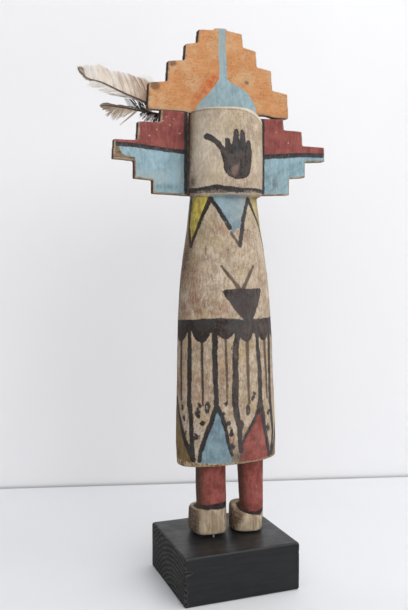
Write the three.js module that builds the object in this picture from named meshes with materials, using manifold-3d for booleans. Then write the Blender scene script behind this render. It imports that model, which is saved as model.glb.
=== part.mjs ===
// Carved and painted cottonwood kachina doll with a stepped tablita and two feathers,
// held on a black block by one steel pin.
// Millimetres, +Z up. The doll faces -Y. The origin is the centre of the block's underside.
// "Left" and "right" are those of a viewer standing in front of the doll (left is -X).
import * as THREE from "three";
import { mergeVertices } from "three/addons/utils/BufferGeometryUtils.js";
import Module from "manifold-3d";

const wasm = await Module();
wasm.setup();

// ---- driving sizes ----
const gap = 0.3; // clear space between pieces that touch

const block = { width: 96, depth: 86, height: 38, edge: 1.2, foot: 0.4 };

// The robe's width and depth at a few heights, and the way its middle wanders as it rises.
const robe = {
  heights: [97.4, 112, 162, 212, 250, 284, 316],
  halfWidths: [41.8, 42.2, 40.5, 38.8, 35.9, 30.4, 26.3],
  halfDepths: [29.6, 30, 29.8, 28.4, 26, 24.1, 22.6],
  hemMiddle: { x: 4.8, y: 5 },
  neckMiddle: { x: 0, y: 1 },
  ringCount: 14,
  power: 2.1, // 2 is an ellipse; a little more is fuller at the corners
};
// The hem is not level: it drops toward the back and toward the left.
const hem = { slopeAcross: 0.03, slopeBack: -0.11, reach: 36, round: 2.2, roundHeight: 1.4 };

// The case mask: an upright cylinder whose top slopes a little down toward the front.
const mask = {
  x: 2, y: 0, bottom: 311.2, top: 377.2, radius: 29.3, topRadius: 28.7,
  rim: 2.8, lip: 1.8, topSlope: 0.035,
};

// Each leg tapers from the hem down to the ankle, where it meets the top of its foot.
const legTop = 104;
const legs = [
  { top: { x: -10, y: 3.6, r: 12.5 }, ankle: { x: -9, y: 3.2, r: 12.5 }, ankleHeight: 54 },
  { top: { x: 25, y: 3.4, r: 11.3 }, ankle: { x: 26.8, y: 3, r: 9.7 }, ankleHeight: 46 },
];
// The left foot is held just off the block by the pin; the right one comes down to it.
const feet = [
  { x: -11.4, y: 6, halfWidth: 14.7, halfLength: 16, turn: 0, power: 2.8, lift: 1.6, heel: 20, toe: 22 },
  { x: 21.6, y: 4.4, halfWidth: 13.4, halfLength: 15, turn: -12, power: 2.9, lift: gap, heel: 20.5, toe: 13.4 },
];

const pin = { x: -11.2, y: -7.4, radius: 0.8, inBlock: 12, inFoot: 14 };

// The three thin boards stand in one plane and share one centre line.
const board = { front: 11, thickness: 7, centre: 2 };
// Steps go from the middle outward: reach from the centre line, then height of the step.
const upper = {
  reachLeft: [18.9, 29.8, 44.2, 60.2],
  reachRight: [18.6, 31, 45, 60],
  level: [443, 431.6, 417, 399.2],
  bottomLeft: 378.5,
  bottomRight: 379.1,
  lean: 1.1, // a riser stands this much further out at its foot
  fall: 1, // a step sinks this much, outward, below its nominal height, and rises as much inward
  knob: { from: -6.4, to: 5.7, height: 2.6, slant: 1.5 },
};
const wings = {
  left: {
    side: -1, inner: 377.6, reach: [50.4, 69, 88.4], level: [377.6, 367.6, 352.9],
    under: [337.4, 322.9, 311.6], underReach: [72.2, 57.2], lean: 0.9, tilt: 0.05,
  },
  right: {
    side: 1, inner: 375.8, reach: [56.4, 74, 95.2], level: [377.4, 368.2, 356.1],
    under: [343, 328.8, 313.6], underReach: [77.2, 62.4], lean: 0.8, tilt: 0.09,
  },
};
const wingRoot = 12; // the uncut wing starts this far from the centre line, inside the mask

// Each feather runs outward along -X at one depth. A station is: place across, height of the
// middle, half height. The first two stations are the bare quill, which plugs into the mask.
const feathers = {
  large_feather: {
    y: 24.4, halfThickness: 0.9,
    stations: [
      [-9.5, 371, 1.1], [-38, 379.6, 1.3], [-44, 388, 7], [-52, 391.5, 9.5], [-64, 395.5, 10.4],
      [-92, 402.6, 10.4], [-101, 404.8, 8], [-108, 407.4, 4], [-111.5, 409.2, 1],
    ],
  },
  small_feather: {
    y: 27.4, halfThickness: 0.8,
    stations: [
      [-5.5, 368.3, 1], [-41, 376.6, 1.2], [-50, 378.5, 7], [-62, 379.5, 9.5], [-75, 377.2, 11.6],
      [-85, 376.4, 8], [-91, 379.2, 2.6], [-94.5, 380.2, 0.8],
    ],
  },
};
const socket = { clearance: 0.4, reach: 16 };

// ---- shape helpers ----
const { lerp, clamp, degToRad } = THREE.MathUtils;
const level = () => 0;

// One closed ring of a superellipse. lift(x, y) tilts or bends it out of its plane.
function ring({ z, a, b, x = 0, y = 0, power = 2, turn = 0, count = 40, lift = level }) {
  const bow = (value) => Math.sign(value) * Math.abs(value) ** (2 / power);
  return Array.from({ length: count }, (_, i) => {
    const angle = (i / count) * Math.PI * 2;
    const point = new THREE.Vector2(a * bow(Math.cos(angle)), b * bow(Math.sin(angle)));
    point.rotateAround(new THREE.Vector2(), degToRad(turn)).add(new THREE.Vector2(x, y));
    return [point.x, point.y, z + lift(point.x, point.y)];
  });
}

// Skin over a stack of rings, closed by a fan at each end.
function loft(rings) {
  const n = rings[0].length;
  const position = rings.flat(2);
  const index = [];
  for (let row = 0; row < rings.length - 1; row++) {
    for (let i = 0; i < n; i++) {
      const a = row * n + i;
      const b = row * n + ((i + 1) % n);
      index.push(a, b, b + n, a, b + n, a + n);
    }
  }
  for (const row of [0, rings.length - 1]) {
    const middle = position.length / 3;
    for (const axis of [0, 1, 2]) position.push(rings[row].reduce((sum, p) => sum + p[axis], 0) / n);
    for (let i = 0; i < n; i++) {
      const edge = [row * n + i, row * n + ((i + 1) % n)];
      index.push(middle, ...(row ? edge : edge.reverse()));
    }
  }
  const geometry = new THREE.BufferGeometry();
  geometry.setAttribute("position", new THREE.Float32BufferAttribute(position, 3));
  geometry.setIndex(index);
  return geometry;
}

function solidOf(geometry) {
  const bare = geometry.clone();
  bare.deleteAttribute("normal");
  bare.deleteAttribute("uv");
  const merged = mergeVertices(bare, 1e-4);
  return new wasm.Manifold(new wasm.Mesh({
    numProp: 3,
    vertProperties: new Float32Array(merged.attributes.position.array),
    triVerts: new Uint32Array(merged.index.array),
  }));
}

function geometryOf(solid) {
  const mesh = solid.getMesh();
  const geometry = new THREE.BufferGeometry();
  geometry.setAttribute("position", new THREE.Float32BufferAttribute(mesh.vertProperties, 3));
  geometry.setIndex(new THREE.Uint32BufferAttribute(mesh.triVerts, 1));
  geometry.computeVertexNormals();
  return geometry;
}

// Straight round rod between two points.
function rod(from, to, radius, sides = 16) {
  const geometry = new THREE.CylinderGeometry(radius, radius, from.distanceTo(to), sides);
  geometry.rotateX(Math.PI / 2);
  geometry.lookAt(to.clone().sub(from).normalize());
  const middle = from.clone().lerp(to, 0.5);
  return geometry.translate(middle.x, middle.y, middle.z);
}

function uprightRod({ x, y, radius }, bottom, top) {
  return rod(new THREE.Vector3(x, y, bottom), new THREE.Vector3(x, y, top), radius);
}

// Flat board cut to an outline drawn as seen from the front, with its front face at board.front.
function cutBoard(outline) {
  const shape = new THREE.Shape(outline.map(([x, z]) => new THREE.Vector2(board.centre + x, z)));
  const geometry = new THREE.ExtrudeGeometry(shape, { depth: board.thickness, bevelEnabled: false });
  geometry.rotateX(Math.PI / 2);
  return geometry.translate(0, board.front + board.thickness, 0);
}

// ---- the carved figure: robe, mask, legs and feet in one piece ----
function robeSolid() {
  const { heights, halfWidths, halfDepths, hemMiddle, neckMiddle, ringCount, power } = robe;
  const samples = heights.flatMap((_, i) => [halfWidths[i], halfDepths[i]]);
  const section = new THREE.CubicInterpolant(heights, samples, 2);
  const [low, high] = [heights[0], heights.at(-1)];
  const robeRing = (z, shrink = 0, drop = 0) => {
    const [a, b] = section.evaluate(z);
    const t = (z - low) / (high - low);
    const x = lerp(hemMiddle.x, neckMiddle.x, t);
    const y = lerp(hemMiddle.y, neckMiddle.y, t);
    const share = clamp(1 - (z - low) / hem.reach, 0, 1);
    const lift = (px, py) => share * ((px - x) * hem.slopeAcross + (py - y) * hem.slopeBack);
    return ring({ z: z - drop, a: a - shrink, b: b - shrink, x, y, power, count: 56, lift });
  };
  const rings = [robeRing(low, hem.round, hem.roundHeight)];
  for (let i = 0; i < ringCount; i++) rings.push(robeRing(lerp(low, high, i / (ringCount - 1))));
  return solidOf(loft(rings));
}

function maskSolid() {
  const { x, y, bottom, top, radius, topRadius, rim, lip, topSlope } = mask;
  const rows = [
    [bottom, radius - lip, 0],
    [bottom + lip, radius - 0.3, 0],
    [bottom + 12, radius + 0.1, 0],
    [lerp(bottom, top, 0.5), radius, 0],
    [top - rim - 4, topRadius, 1],
    [top - rim * 0.4, topRadius - rim * 0.35, 1],
    [top, topRadius - rim, 1],
  ];
  return solidOf(loft(rows.map(([z, r, share]) => {
    const lift = (_, py) => share * topSlope * (py - y);
    return ring({ z, a: r, b: r, x, y, count: 56, lift });
  })));
}

// Room that the wings leave around the mask, so that each one ends in a hollow that fits it.
function maskRoom() {
  const r = mask.radius + 0.1 + gap;
  const ends = [mask.bottom - 8, mask.top + 8];
  return solidOf(loft(ends.map((z) => ring({ z, a: r, b: r, x: mask.x, y: mask.y, count: 56 }))));
}

function legSolid({ top, ankle, ankleHeight }) {
  const ends = [{ ...ankle, z: ankleHeight }, { ...top, z: legTop }];
  return solidOf(loft(ends.map(({ x, y, z, r }) => ring({ z, a: r, b: r, x, y, count: 32 }))));
}

// A chunky foot with its upper edge rounded off; its top slopes between heel and toe.
function footSolid({ x, y, halfWidth, halfLength, turn, power, lift, heel, toe }) {
  const floor = block.height + lift;
  const slope = (share) => (_, py) => {
    const back = clamp(((py - y) / halfLength + 1) * 0.75, 0, 1);
    return share * lerp(toe - heel, 0, back);
  };
  const rows = [
    [0, 1.2, 0], [1.2, 0, 0], [heel * 0.45, 0, 0.4],
    [heel - 2.6, 0.2, 1], [heel - 0.8, 1.2, 1], [heel, 3, 1],
  ];
  return solidOf(loft(rows.map(([z, inset, share]) => ring({
    z: floor + z, a: halfWidth - inset, b: halfLength - inset, x, y, power, turn, count: 36, lift: slope(share),
  }))));
}

// Drilled hole that takes a feather's quill in the back of the mask.
function socketSolid({ y, stations: [inner, outer] }) {
  const tip = new THREE.Vector3(inner[0], y, inner[1]);
  const along = new THREE.Vector3(outer[0], y, outer[1]).sub(tip).normalize();
  const bottom = tip.clone().addScaledVector(along, -socket.clearance);
  const mouth = tip.clone().addScaledVector(along, socket.reach);
  return solidOf(rod(bottom, mouth, inner[2] + socket.clearance));
}

const pinTop = block.height + feet[0].lift + pin.inFoot;
const pinBottom = block.height - pin.inBlock;
const pinHole = () => solidOf(uprightRod({ ...pin, radius: pin.radius + gap }, pinBottom - gap, pinTop + gap));

function carvedFigure() {
  const carved = [maskSolid(), ...legs.map(legSolid), ...feet.map(footSolid)];
  const holes = [...Object.values(feathers).map(socketSolid), pinHole()];
  const joined = carved.reduce((whole, piece) => whole.add(piece), robeSolid());
  return geometryOf(holes.reduce((whole, hole) => whole.subtract(hole), joined));
}

// ---- the tablita boards ----
function upperOutline() {
  const { reachLeft, reachRight, level: heights, bottomLeft, bottomRight, lean, fall, knob } = upper;
  const flank = (side, reach, bottom) => reach.flatMap((r, i) => {
    const head = heights[i] - (i ? fall : 0);
    const footHeight = i + 1 < reach.length ? heights[i + 1] + fall : bottom;
    return [[side * r, head], [side * (r + lean), footHeight]];
  });
  const top = heights[0];
  const ridge = [
    [knob.from, top + 1], [knob.from + knob.slant, top + knob.height],
    [knob.to - knob.slant, top + knob.height + 0.5], [knob.to, top + 1.6],
  ];
  return [...flank(-1, reachLeft, bottomLeft).reverse(), ...ridge, ...flank(1, reachRight, bottomRight)];
}

// A wing steps outward down its upper side and back inward up to the mask along its lower side.
function wingOutline({ side, inner, reach, level: heights, under, underReach, lean, tilt }) {
  const rise = tilt * 8; // how far an underside climbs over one step
  const points = [[wingRoot, inner]];
  reach.forEach((r, i) => {
    const footHeight = i + 1 < reach.length ? heights[i + 1] + 0.4 : under[0] + rise;
    points.push([r, heights[i]], [r + lean, footHeight]);
  });
  underReach.forEach((r, i) => points.push([r, under[i] - rise], [r, under[i + 1] + rise]));
  points.push([wingRoot, under.at(-1) - tilt * 20]);
  const outline = points.map(([x, z]) => [side * x, z]);
  return side < 0 ? outline.reverse() : outline;
}

const wing = (sizes) => geometryOf(solidOf(cutBoard(wingOutline(sizes))).subtract(maskRoom()));

// ---- feathers, block and pin ----
function featherBody({ y, halfThickness, stations }) {
  const sides = 14;
  const rings = stations.map(([x, z, half], k) => {
    const thick = k < 2 ? half : Math.min(half, halfThickness);
    return Array.from({ length: sides }, (_, i) => {
      const angle = (i / sides) * Math.PI * 2;
      return [x, y + thick * Math.cos(angle), z + half * Math.sin(angle)];
    });
  });
  return loft(rings.reverse());
}

function blockBody() {
  const { width, depth, height, edge, foot } = block;
  const rows = [[0, foot], [foot, 0], [height - edge, 0], [height - edge * 0.3, edge * 0.3], [height, edge]];
  const corner = edge / 2;
  const rings = rows.map(([z, inset]) => {
    const x = width / 2 - inset;
    const y = depth / 2 - inset;
    return [
      [x, y - corner, z], [x - corner, y, z], [corner - x, y, z], [-x, y - corner, z],
      [-x, corner - y, z], [corner - x, -y, z], [x - corner, -y, z], [x, corner - y, z],
    ];
  });
  return geometryOf(solidOf(loft(rings)).subtract(pinHole()));
}

// ---- the object ----
const doll = new THREE.Group();
doll.name = "kachina_doll";

function add(name, geometry, color, roughness, metalness = 0) {
  const mesh = new THREE.Mesh(geometry, new THREE.MeshStandardMaterial({ color, roughness, metalness }));
  mesh.name = name;
  doll.add(mesh);
}

add("display_block", blockBody(), 0x2b2b2e, 0.55);
add("mounting_pin", uprightRod(pin, pinBottom, pinTop), 0xb9bcc0, 0.3, 1);
add("carved_figure", carvedFigure(), 0xb9ab92, 0.85);
add("upper_board", cutBoard(upperOutline()), 0xc98f52, 0.85);
add("left_wing_board", wing(wings.left), 0x84b3c6, 0.85);
add("right_wing_board", wing(wings.right), 0x84b3c6, 0.85);
for (const [name, sizes] of Object.entries(feathers)) add(name, featherBody(sizes), 0xcbbfae, 0.8);

export default doll;
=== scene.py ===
import math
import random

import bpy
import numpy as np
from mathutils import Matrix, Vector


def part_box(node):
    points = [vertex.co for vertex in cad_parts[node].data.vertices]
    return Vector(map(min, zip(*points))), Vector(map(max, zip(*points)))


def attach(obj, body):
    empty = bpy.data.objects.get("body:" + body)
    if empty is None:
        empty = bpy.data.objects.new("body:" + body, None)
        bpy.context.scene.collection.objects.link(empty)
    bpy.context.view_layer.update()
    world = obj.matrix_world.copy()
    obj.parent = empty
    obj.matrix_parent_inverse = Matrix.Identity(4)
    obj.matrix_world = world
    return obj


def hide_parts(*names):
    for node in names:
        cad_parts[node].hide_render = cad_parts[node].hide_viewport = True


# Carved and painted doll with a stepped headboard and two feathers, held on a black block.
# Metres, +Z up, the doll faces -Y. "Left" is the viewer's left, -X.

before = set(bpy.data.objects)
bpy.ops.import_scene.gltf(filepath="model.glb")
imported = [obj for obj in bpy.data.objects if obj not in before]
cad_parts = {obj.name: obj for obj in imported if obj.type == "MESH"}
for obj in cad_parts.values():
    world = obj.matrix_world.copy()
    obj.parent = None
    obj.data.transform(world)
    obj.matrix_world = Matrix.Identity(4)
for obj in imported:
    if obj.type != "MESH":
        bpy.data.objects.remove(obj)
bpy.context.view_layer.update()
millimetre = 0.001
print("frame loaded:", ", ".join(sorted(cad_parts)))


# picking and shaping pieces

def pickOnly(piece):
    if bpy.context.object and bpy.context.object.mode != "OBJECT":
        bpy.ops.object.mode_set(mode="OBJECT")
    bpy.ops.object.select_all(action="DESELECT")
    piece.select_set(True)
    bpy.context.view_layer.objects.active = piece


def finishWith(piece, kind, **settings):
    # adds one modifier with these settings and applies it
    pickOnly(piece)
    modifier = piece.modifiers.new(kind.lower(), kind)
    for name, value in settings.items():
        setattr(modifier, name, value)
    bpy.ops.object.modifier_apply(modifier=modifier.name)


def roughBlank(node, name, grain):
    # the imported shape, welded and cut up finely enough to be carved
    piece = bpy.data.objects.new(name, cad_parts[node].data.copy())
    bpy.context.scene.collection.objects.link(piece)
    piece.data.materials.clear()
    pickOnly(piece)
    bpy.ops.object.mode_set(mode="EDIT")
    bpy.ops.mesh.select_all(action="SELECT")
    bpy.ops.mesh.remove_doubles(threshold=0.01 * millimetre)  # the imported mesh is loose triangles
    bpy.ops.object.mode_set(mode="OBJECT")
    finishWith(piece, "REMESH", mode="VOXEL", voxel_size=grain * millimetre)
    finishWith(piece, "SMOOTH", factor=0.5, iterations=2)
    bpy.ops.object.shade_smooth()
    return piece


def carve(piece, size, depth, detail=2, keep=0.85):
    # cuts the surface inward by up to depth; keep is the share of the pattern left proud
    texture = bpy.data.textures.new(piece.name + "_marks", "CLOUDS")
    texture.noise_scale = size * millimetre
    texture.noise_depth = detail
    finishWith(piece, "DISPLACE", texture=texture, texture_coords="LOCAL", strength=depth * millimetre,
               mid_level=keep)


def placesOf(piece):
    # vertex places in millimetres
    places = np.empty(len(piece.data.vertices) * 3, np.float32)
    piece.data.vertices.foreach_get("co", places)
    return places.reshape(-1, 3).astype(float) / millimetre


def moveTo(piece, places):
    piece.data.vertices.foreach_set("co", (places * millimetre).astype(np.float32).ravel())
    piece.data.update()


def normalsOf(piece):
    normals = np.empty(len(piece.data.vertices) * 3, np.float32)
    piece.data.vertices.foreach_get("normal", normals)
    return normals.reshape(-1, 3).astype(float)


def ramp(values, start, end):
    # 0 at start and before it, 1 at end and past it
    return np.clip((values - start) / (end - start), 0, 1)


def keepValue(piece, name, values):
    made = piece.data.attributes.new(name, "FLOAT", "POINT")
    made.data.foreach_set("value", np.asarray(values, np.float32))


def neighbourMean(piece, values, rounds):
    # evens a value out over the surface
    ends = np.empty(len(piece.data.edges) * 2, np.int64)
    piece.data.edges.foreach_get("vertices", ends)
    first, second = ends[0::2], ends[1::2]
    count = np.bincount(ends, minlength=len(values)) + 1.0
    for _ in range(rounds):
        total = np.bincount(first, values[second], len(values))
        total += np.bincount(second, values[first], len(values))
        values = (values + total) / count
    return values


def markEdges(piece, rounds, strength):
    # "edge" is high on corners that hands and tools wear; the other value is high in hollows, where dirt gathers
    # and painted shade is laid
    places, normals = placesOf(piece), normalsOf(piece)
    even = np.stack([neighbourMean(piece, places[:, axis], 1) for axis in range(3)], 1)
    bulge = ((places - even) * normals).sum(1) * strength
    keepValue(piece, "edge", neighbourMean(piece, np.clip(bulge, 0, 1), rounds))
    keepValue(piece, "hollowDirtAndShade", neighbourMean(piece, np.clip(-bulge, 0, 1), rounds * 2))


def settle(piece, node, material):
    piece.data.materials.append(material)
    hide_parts(node)
    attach(piece, "root")


# Brush work: how far inside a painted shape each vertex lies, in millimetres. A surface is unrolled
# first, into across (degrees round it, or millimetres on a board), up (millimetres), reach (millimetres
# per unit of across) and one full turn of across.

noTurn = 1e9  # a board doesn't go round
farAway = 1e9


def unrolled(places, lowHeight, highHeight):
    middles = []
    for height in (lowHeight, highHeight):
        cut = places[np.abs(places[:, 2] - height) < 2]
        middles.append((cut.min(0) + cut.max(0)) / 2)
    share = ((places[:, 2] - lowHeight) / (highHeight - lowHeight))[:, None]
    middle = middles[0] * (1 - share) + middles[1] * share
    away = places - middle
    across = np.degrees(np.arctan2(away[:, 0], -away[:, 1]))
    return across, places[:, 2], np.radians(np.hypot(away[:, 0], away[:, 1])), 360.0


def flatOn(places):
    return places[:, 0], places[:, 2], np.ones(len(places)), noTurn


def acrossFrom(surface, x):
    across, turn = surface[0], surface[3]
    return (across - x + turn / 2) % turn - turn / 2 if turn < noTurn else across - x


def legsOf(surface, points, closed):
    # each straight leg of a line, as seen from every vertex
    up, reach = surface[1], surface[2]
    middle = sum(p[0] for p in points) / len(points)
    away = acrossFrom(surface, middle)
    ends = points[1:] + points[:1] if closed else points[1:]
    for start, end in zip(points, ends):
        yield (
            (start[0] - middle - away) * reach, start[1] - up,
            (end[0] - middle - away) * reach, end[1] - up,
        )


def alongLeg(ax, ay, bx, by):
    dx, dy = bx - ax, by - ay
    share = np.clip(-(ax * dx + ay * dy) / (dx * dx + dy * dy + 1e-9), 0, 1)
    return np.hypot(ax + share * dx, ay + share * dy), share


def brushLine(surface, width, *points):
    # width is one number, or the widths at the two ends
    wide = width if isinstance(width, tuple) else (width, width)
    best, count = None, len(points) - 1
    for i, leg in enumerate(legsOf(surface, list(points), False)):
        away, share = alongLeg(*leg)
        at = (i + share) / count
        inside = (wide[0] * (1 - at) + wide[1] * at) / 2 - away
        best = inside if best is None else np.maximum(best, inside)
    return best


def filled(surface, *points):
    inside, nearest = np.zeros(len(surface[0]), bool), np.full(len(surface[0]), farAway)
    for ax, ay, bx, by in legsOf(surface, list(points), True):
        nearest = np.minimum(nearest, alongLeg(ax, ay, bx, by)[0])
        rise = np.where(np.abs(by - ay) < 1e-9, 1e-9, by - ay)
        inside ^= ((ay > 0) != (by > 0)) & (ax - (bx - ax) * ay / rise > 0)
    return np.where(inside, nearest, -nearest)


def dab(surface, width, height, *places):
    best = np.full(len(surface[1]), -1e3)
    for x, z in places:
        away = acrossFrom(surface, x) * surface[2]
        ring = np.hypot(away / (width / 2), (surface[1] - z) / (height / 2))
        best = np.maximum(best, (1 - ring) * min(width, height) / 2)
    return best


# shares of a blot's width and height
blotShape = {"core": (0.72, 0.78), "dabs": 5, "dab": (0.36, 0.34), "spread": (0.34, 0.36)}


def blot(surface, x, z, width, height):
    # a pressed brush tip: one dab with a ragged edge of smaller ones
    chance = random.Random(int(x * 31 + z * 7))
    (coreX, coreZ), (dabX, dabZ), (spreadX, spreadZ) = (blotShape[name] for name in ("core", "dab", "spread"))
    best = dab(surface, width * coreX, height * coreZ, (x, z))
    perUnit = float(np.median(surface[2]))
    for _ in range(blotShape["dabs"]):
        turn = chance.uniform(0, 2 * math.pi)
        spot = (x + math.cos(turn) * width * spreadX / perUnit, z + math.sin(turn) * height * spreadZ)
        best = np.maximum(best, dab(surface, width * dabX, height * dabZ, spot))
    return best


def patches(surface, *spots):
    # soft patches, each (across, up, half width, half height, strength)
    best = np.zeros(len(surface[1]))
    for x, z, width, height, strength in spots:
        ring = (acrossFrom(surface, x) * surface[2] / width) ** 2 + ((surface[1] - z) / height) ** 2
        best = np.maximum(best, strength * np.exp(-ring))
    return best


def together(*shapes):
    best = shapes[0]
    for shape in shapes[1:]:
        best = np.maximum(best, shape)
    return best


def brushLines(surface, strokes):
    # each stroke is its width and then its places
    return together(*[brushLine(surface, *stroke) for stroke in strokes])


# the carved figure

figure = {
    "grain": 0.98,  # finest cut, millimetres
    "knifeMarks": (15, 0.4, 1),  # size and depth in millimetres, and how detailed
    "dents": (5, 0.16, 2),
    "edgeMarks": (2, 4.6),  # corner wear: rounds of spreading, and strength
    "robeSlices": (120, 300),  # heights where the robe's middle is taken
    "maskSlices": (330, 360),
    "maskRim": 309.5, "maskBottom": 310.2,  # the rim's lowest height, and where the mask's paint starts
    # the rim hangs down: how far, and where that sets in by height, by distance from the axis and in front
    "rimDrop": 1.5, "rimHeights": (318, 311.5), "rimReach": (21, 23), "rimFront": (12, 2), "rimAxis": (0, 2),
    # the mask swells on the doll's right: how far, and where that sets in by x and by height
    "bulge": 0.8, "bulgeAcross": (-7.2, -19.2), "bulgeHeights": (309, 317),
    "maskTop": 376.4, "maskWear": 0.011,  # worn down towards the right, by maskWear times x squared
    "wearFrom": 350,  # nothing is worn down below this height
    "hemHeight": 99.0, "hemMiddle": (4.8, 5), "hemSlope": (0.03, -0.11),  # the hem tilts along x and y
    "hemDepth": 2.5,  # the robe's paint turns in under the hem this far
    "robePaintFoot": 101.0,  # below it the hem's edge is rubbed bare
    "footTop": 66, "footPaintTop": 64,  # the feet, and their cream colour, end below these heights
    "betweenLegs": 7,  # x of the gap
    "calf": 80,  # height where a leg's middle and radius are taken
    # for each leg: side, ankle height in front and behind, greatest height of its dark band
    "ankles": [(-1, 60.8, 59, 4.4), (1, 51.4, 60, 2.6)],
}

doll = roughBlank("carved_figure", "carved_doll", figure["grain"])
dollPlaces = placesOf(doll)
wornTop = figure["maskTop"] - figure["maskWear"] * np.clip(dollPlaces[:, 0], 0, None) ** 2
topWorn = (dollPlaces[:, 2] > wornTop) & (dollPlaces[:, 2] > figure["wearFrom"])
dollPlaces[topWorn, 2] = wornTop[topWorn]
hanging = ramp(dollPlaces[:, 2], *figure["rimHeights"]) * (dollPlaces[:, 2] > figure["maskRim"])
hanging *= ramp(np.hypot(*(dollPlaces[:, :2] - figure["rimAxis"]).T), *figure["rimReach"])
dollPlaces[:, 2] -= figure["rimDrop"] * hanging * ramp(dollPlaces[:, 1], *figure["rimFront"])
swelling = ramp(dollPlaces[:, 0], *figure["bulgeAcross"]) * ramp(dollPlaces[:, 2], *figure["bulgeHeights"])
dollPlaces[:, 0] -= figure["bulge"] * swelling
moveTo(doll, dollPlaces)
carve(doll, *figure["knifeMarks"])
carve(doll, *figure["dents"])
dollPlaces = placesOf(doll)
robe = unrolled(dollPlaces, *figure["robeSlices"])
mask = unrolled(dollPlaces, *figure["maskSlices"])
height = dollPlaces[:, 2]
onMask = height > figure["maskBottom"]
fromHemMiddle = dollPlaces[:, :2] - figure["hemMiddle"]
hemEdge = figure["hemHeight"] + (fromHemMiddle * figure["hemSlope"]).sum(1)
onRobe = (height > hemEdge - figure["hemDepth"]) & ~onMask

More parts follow.
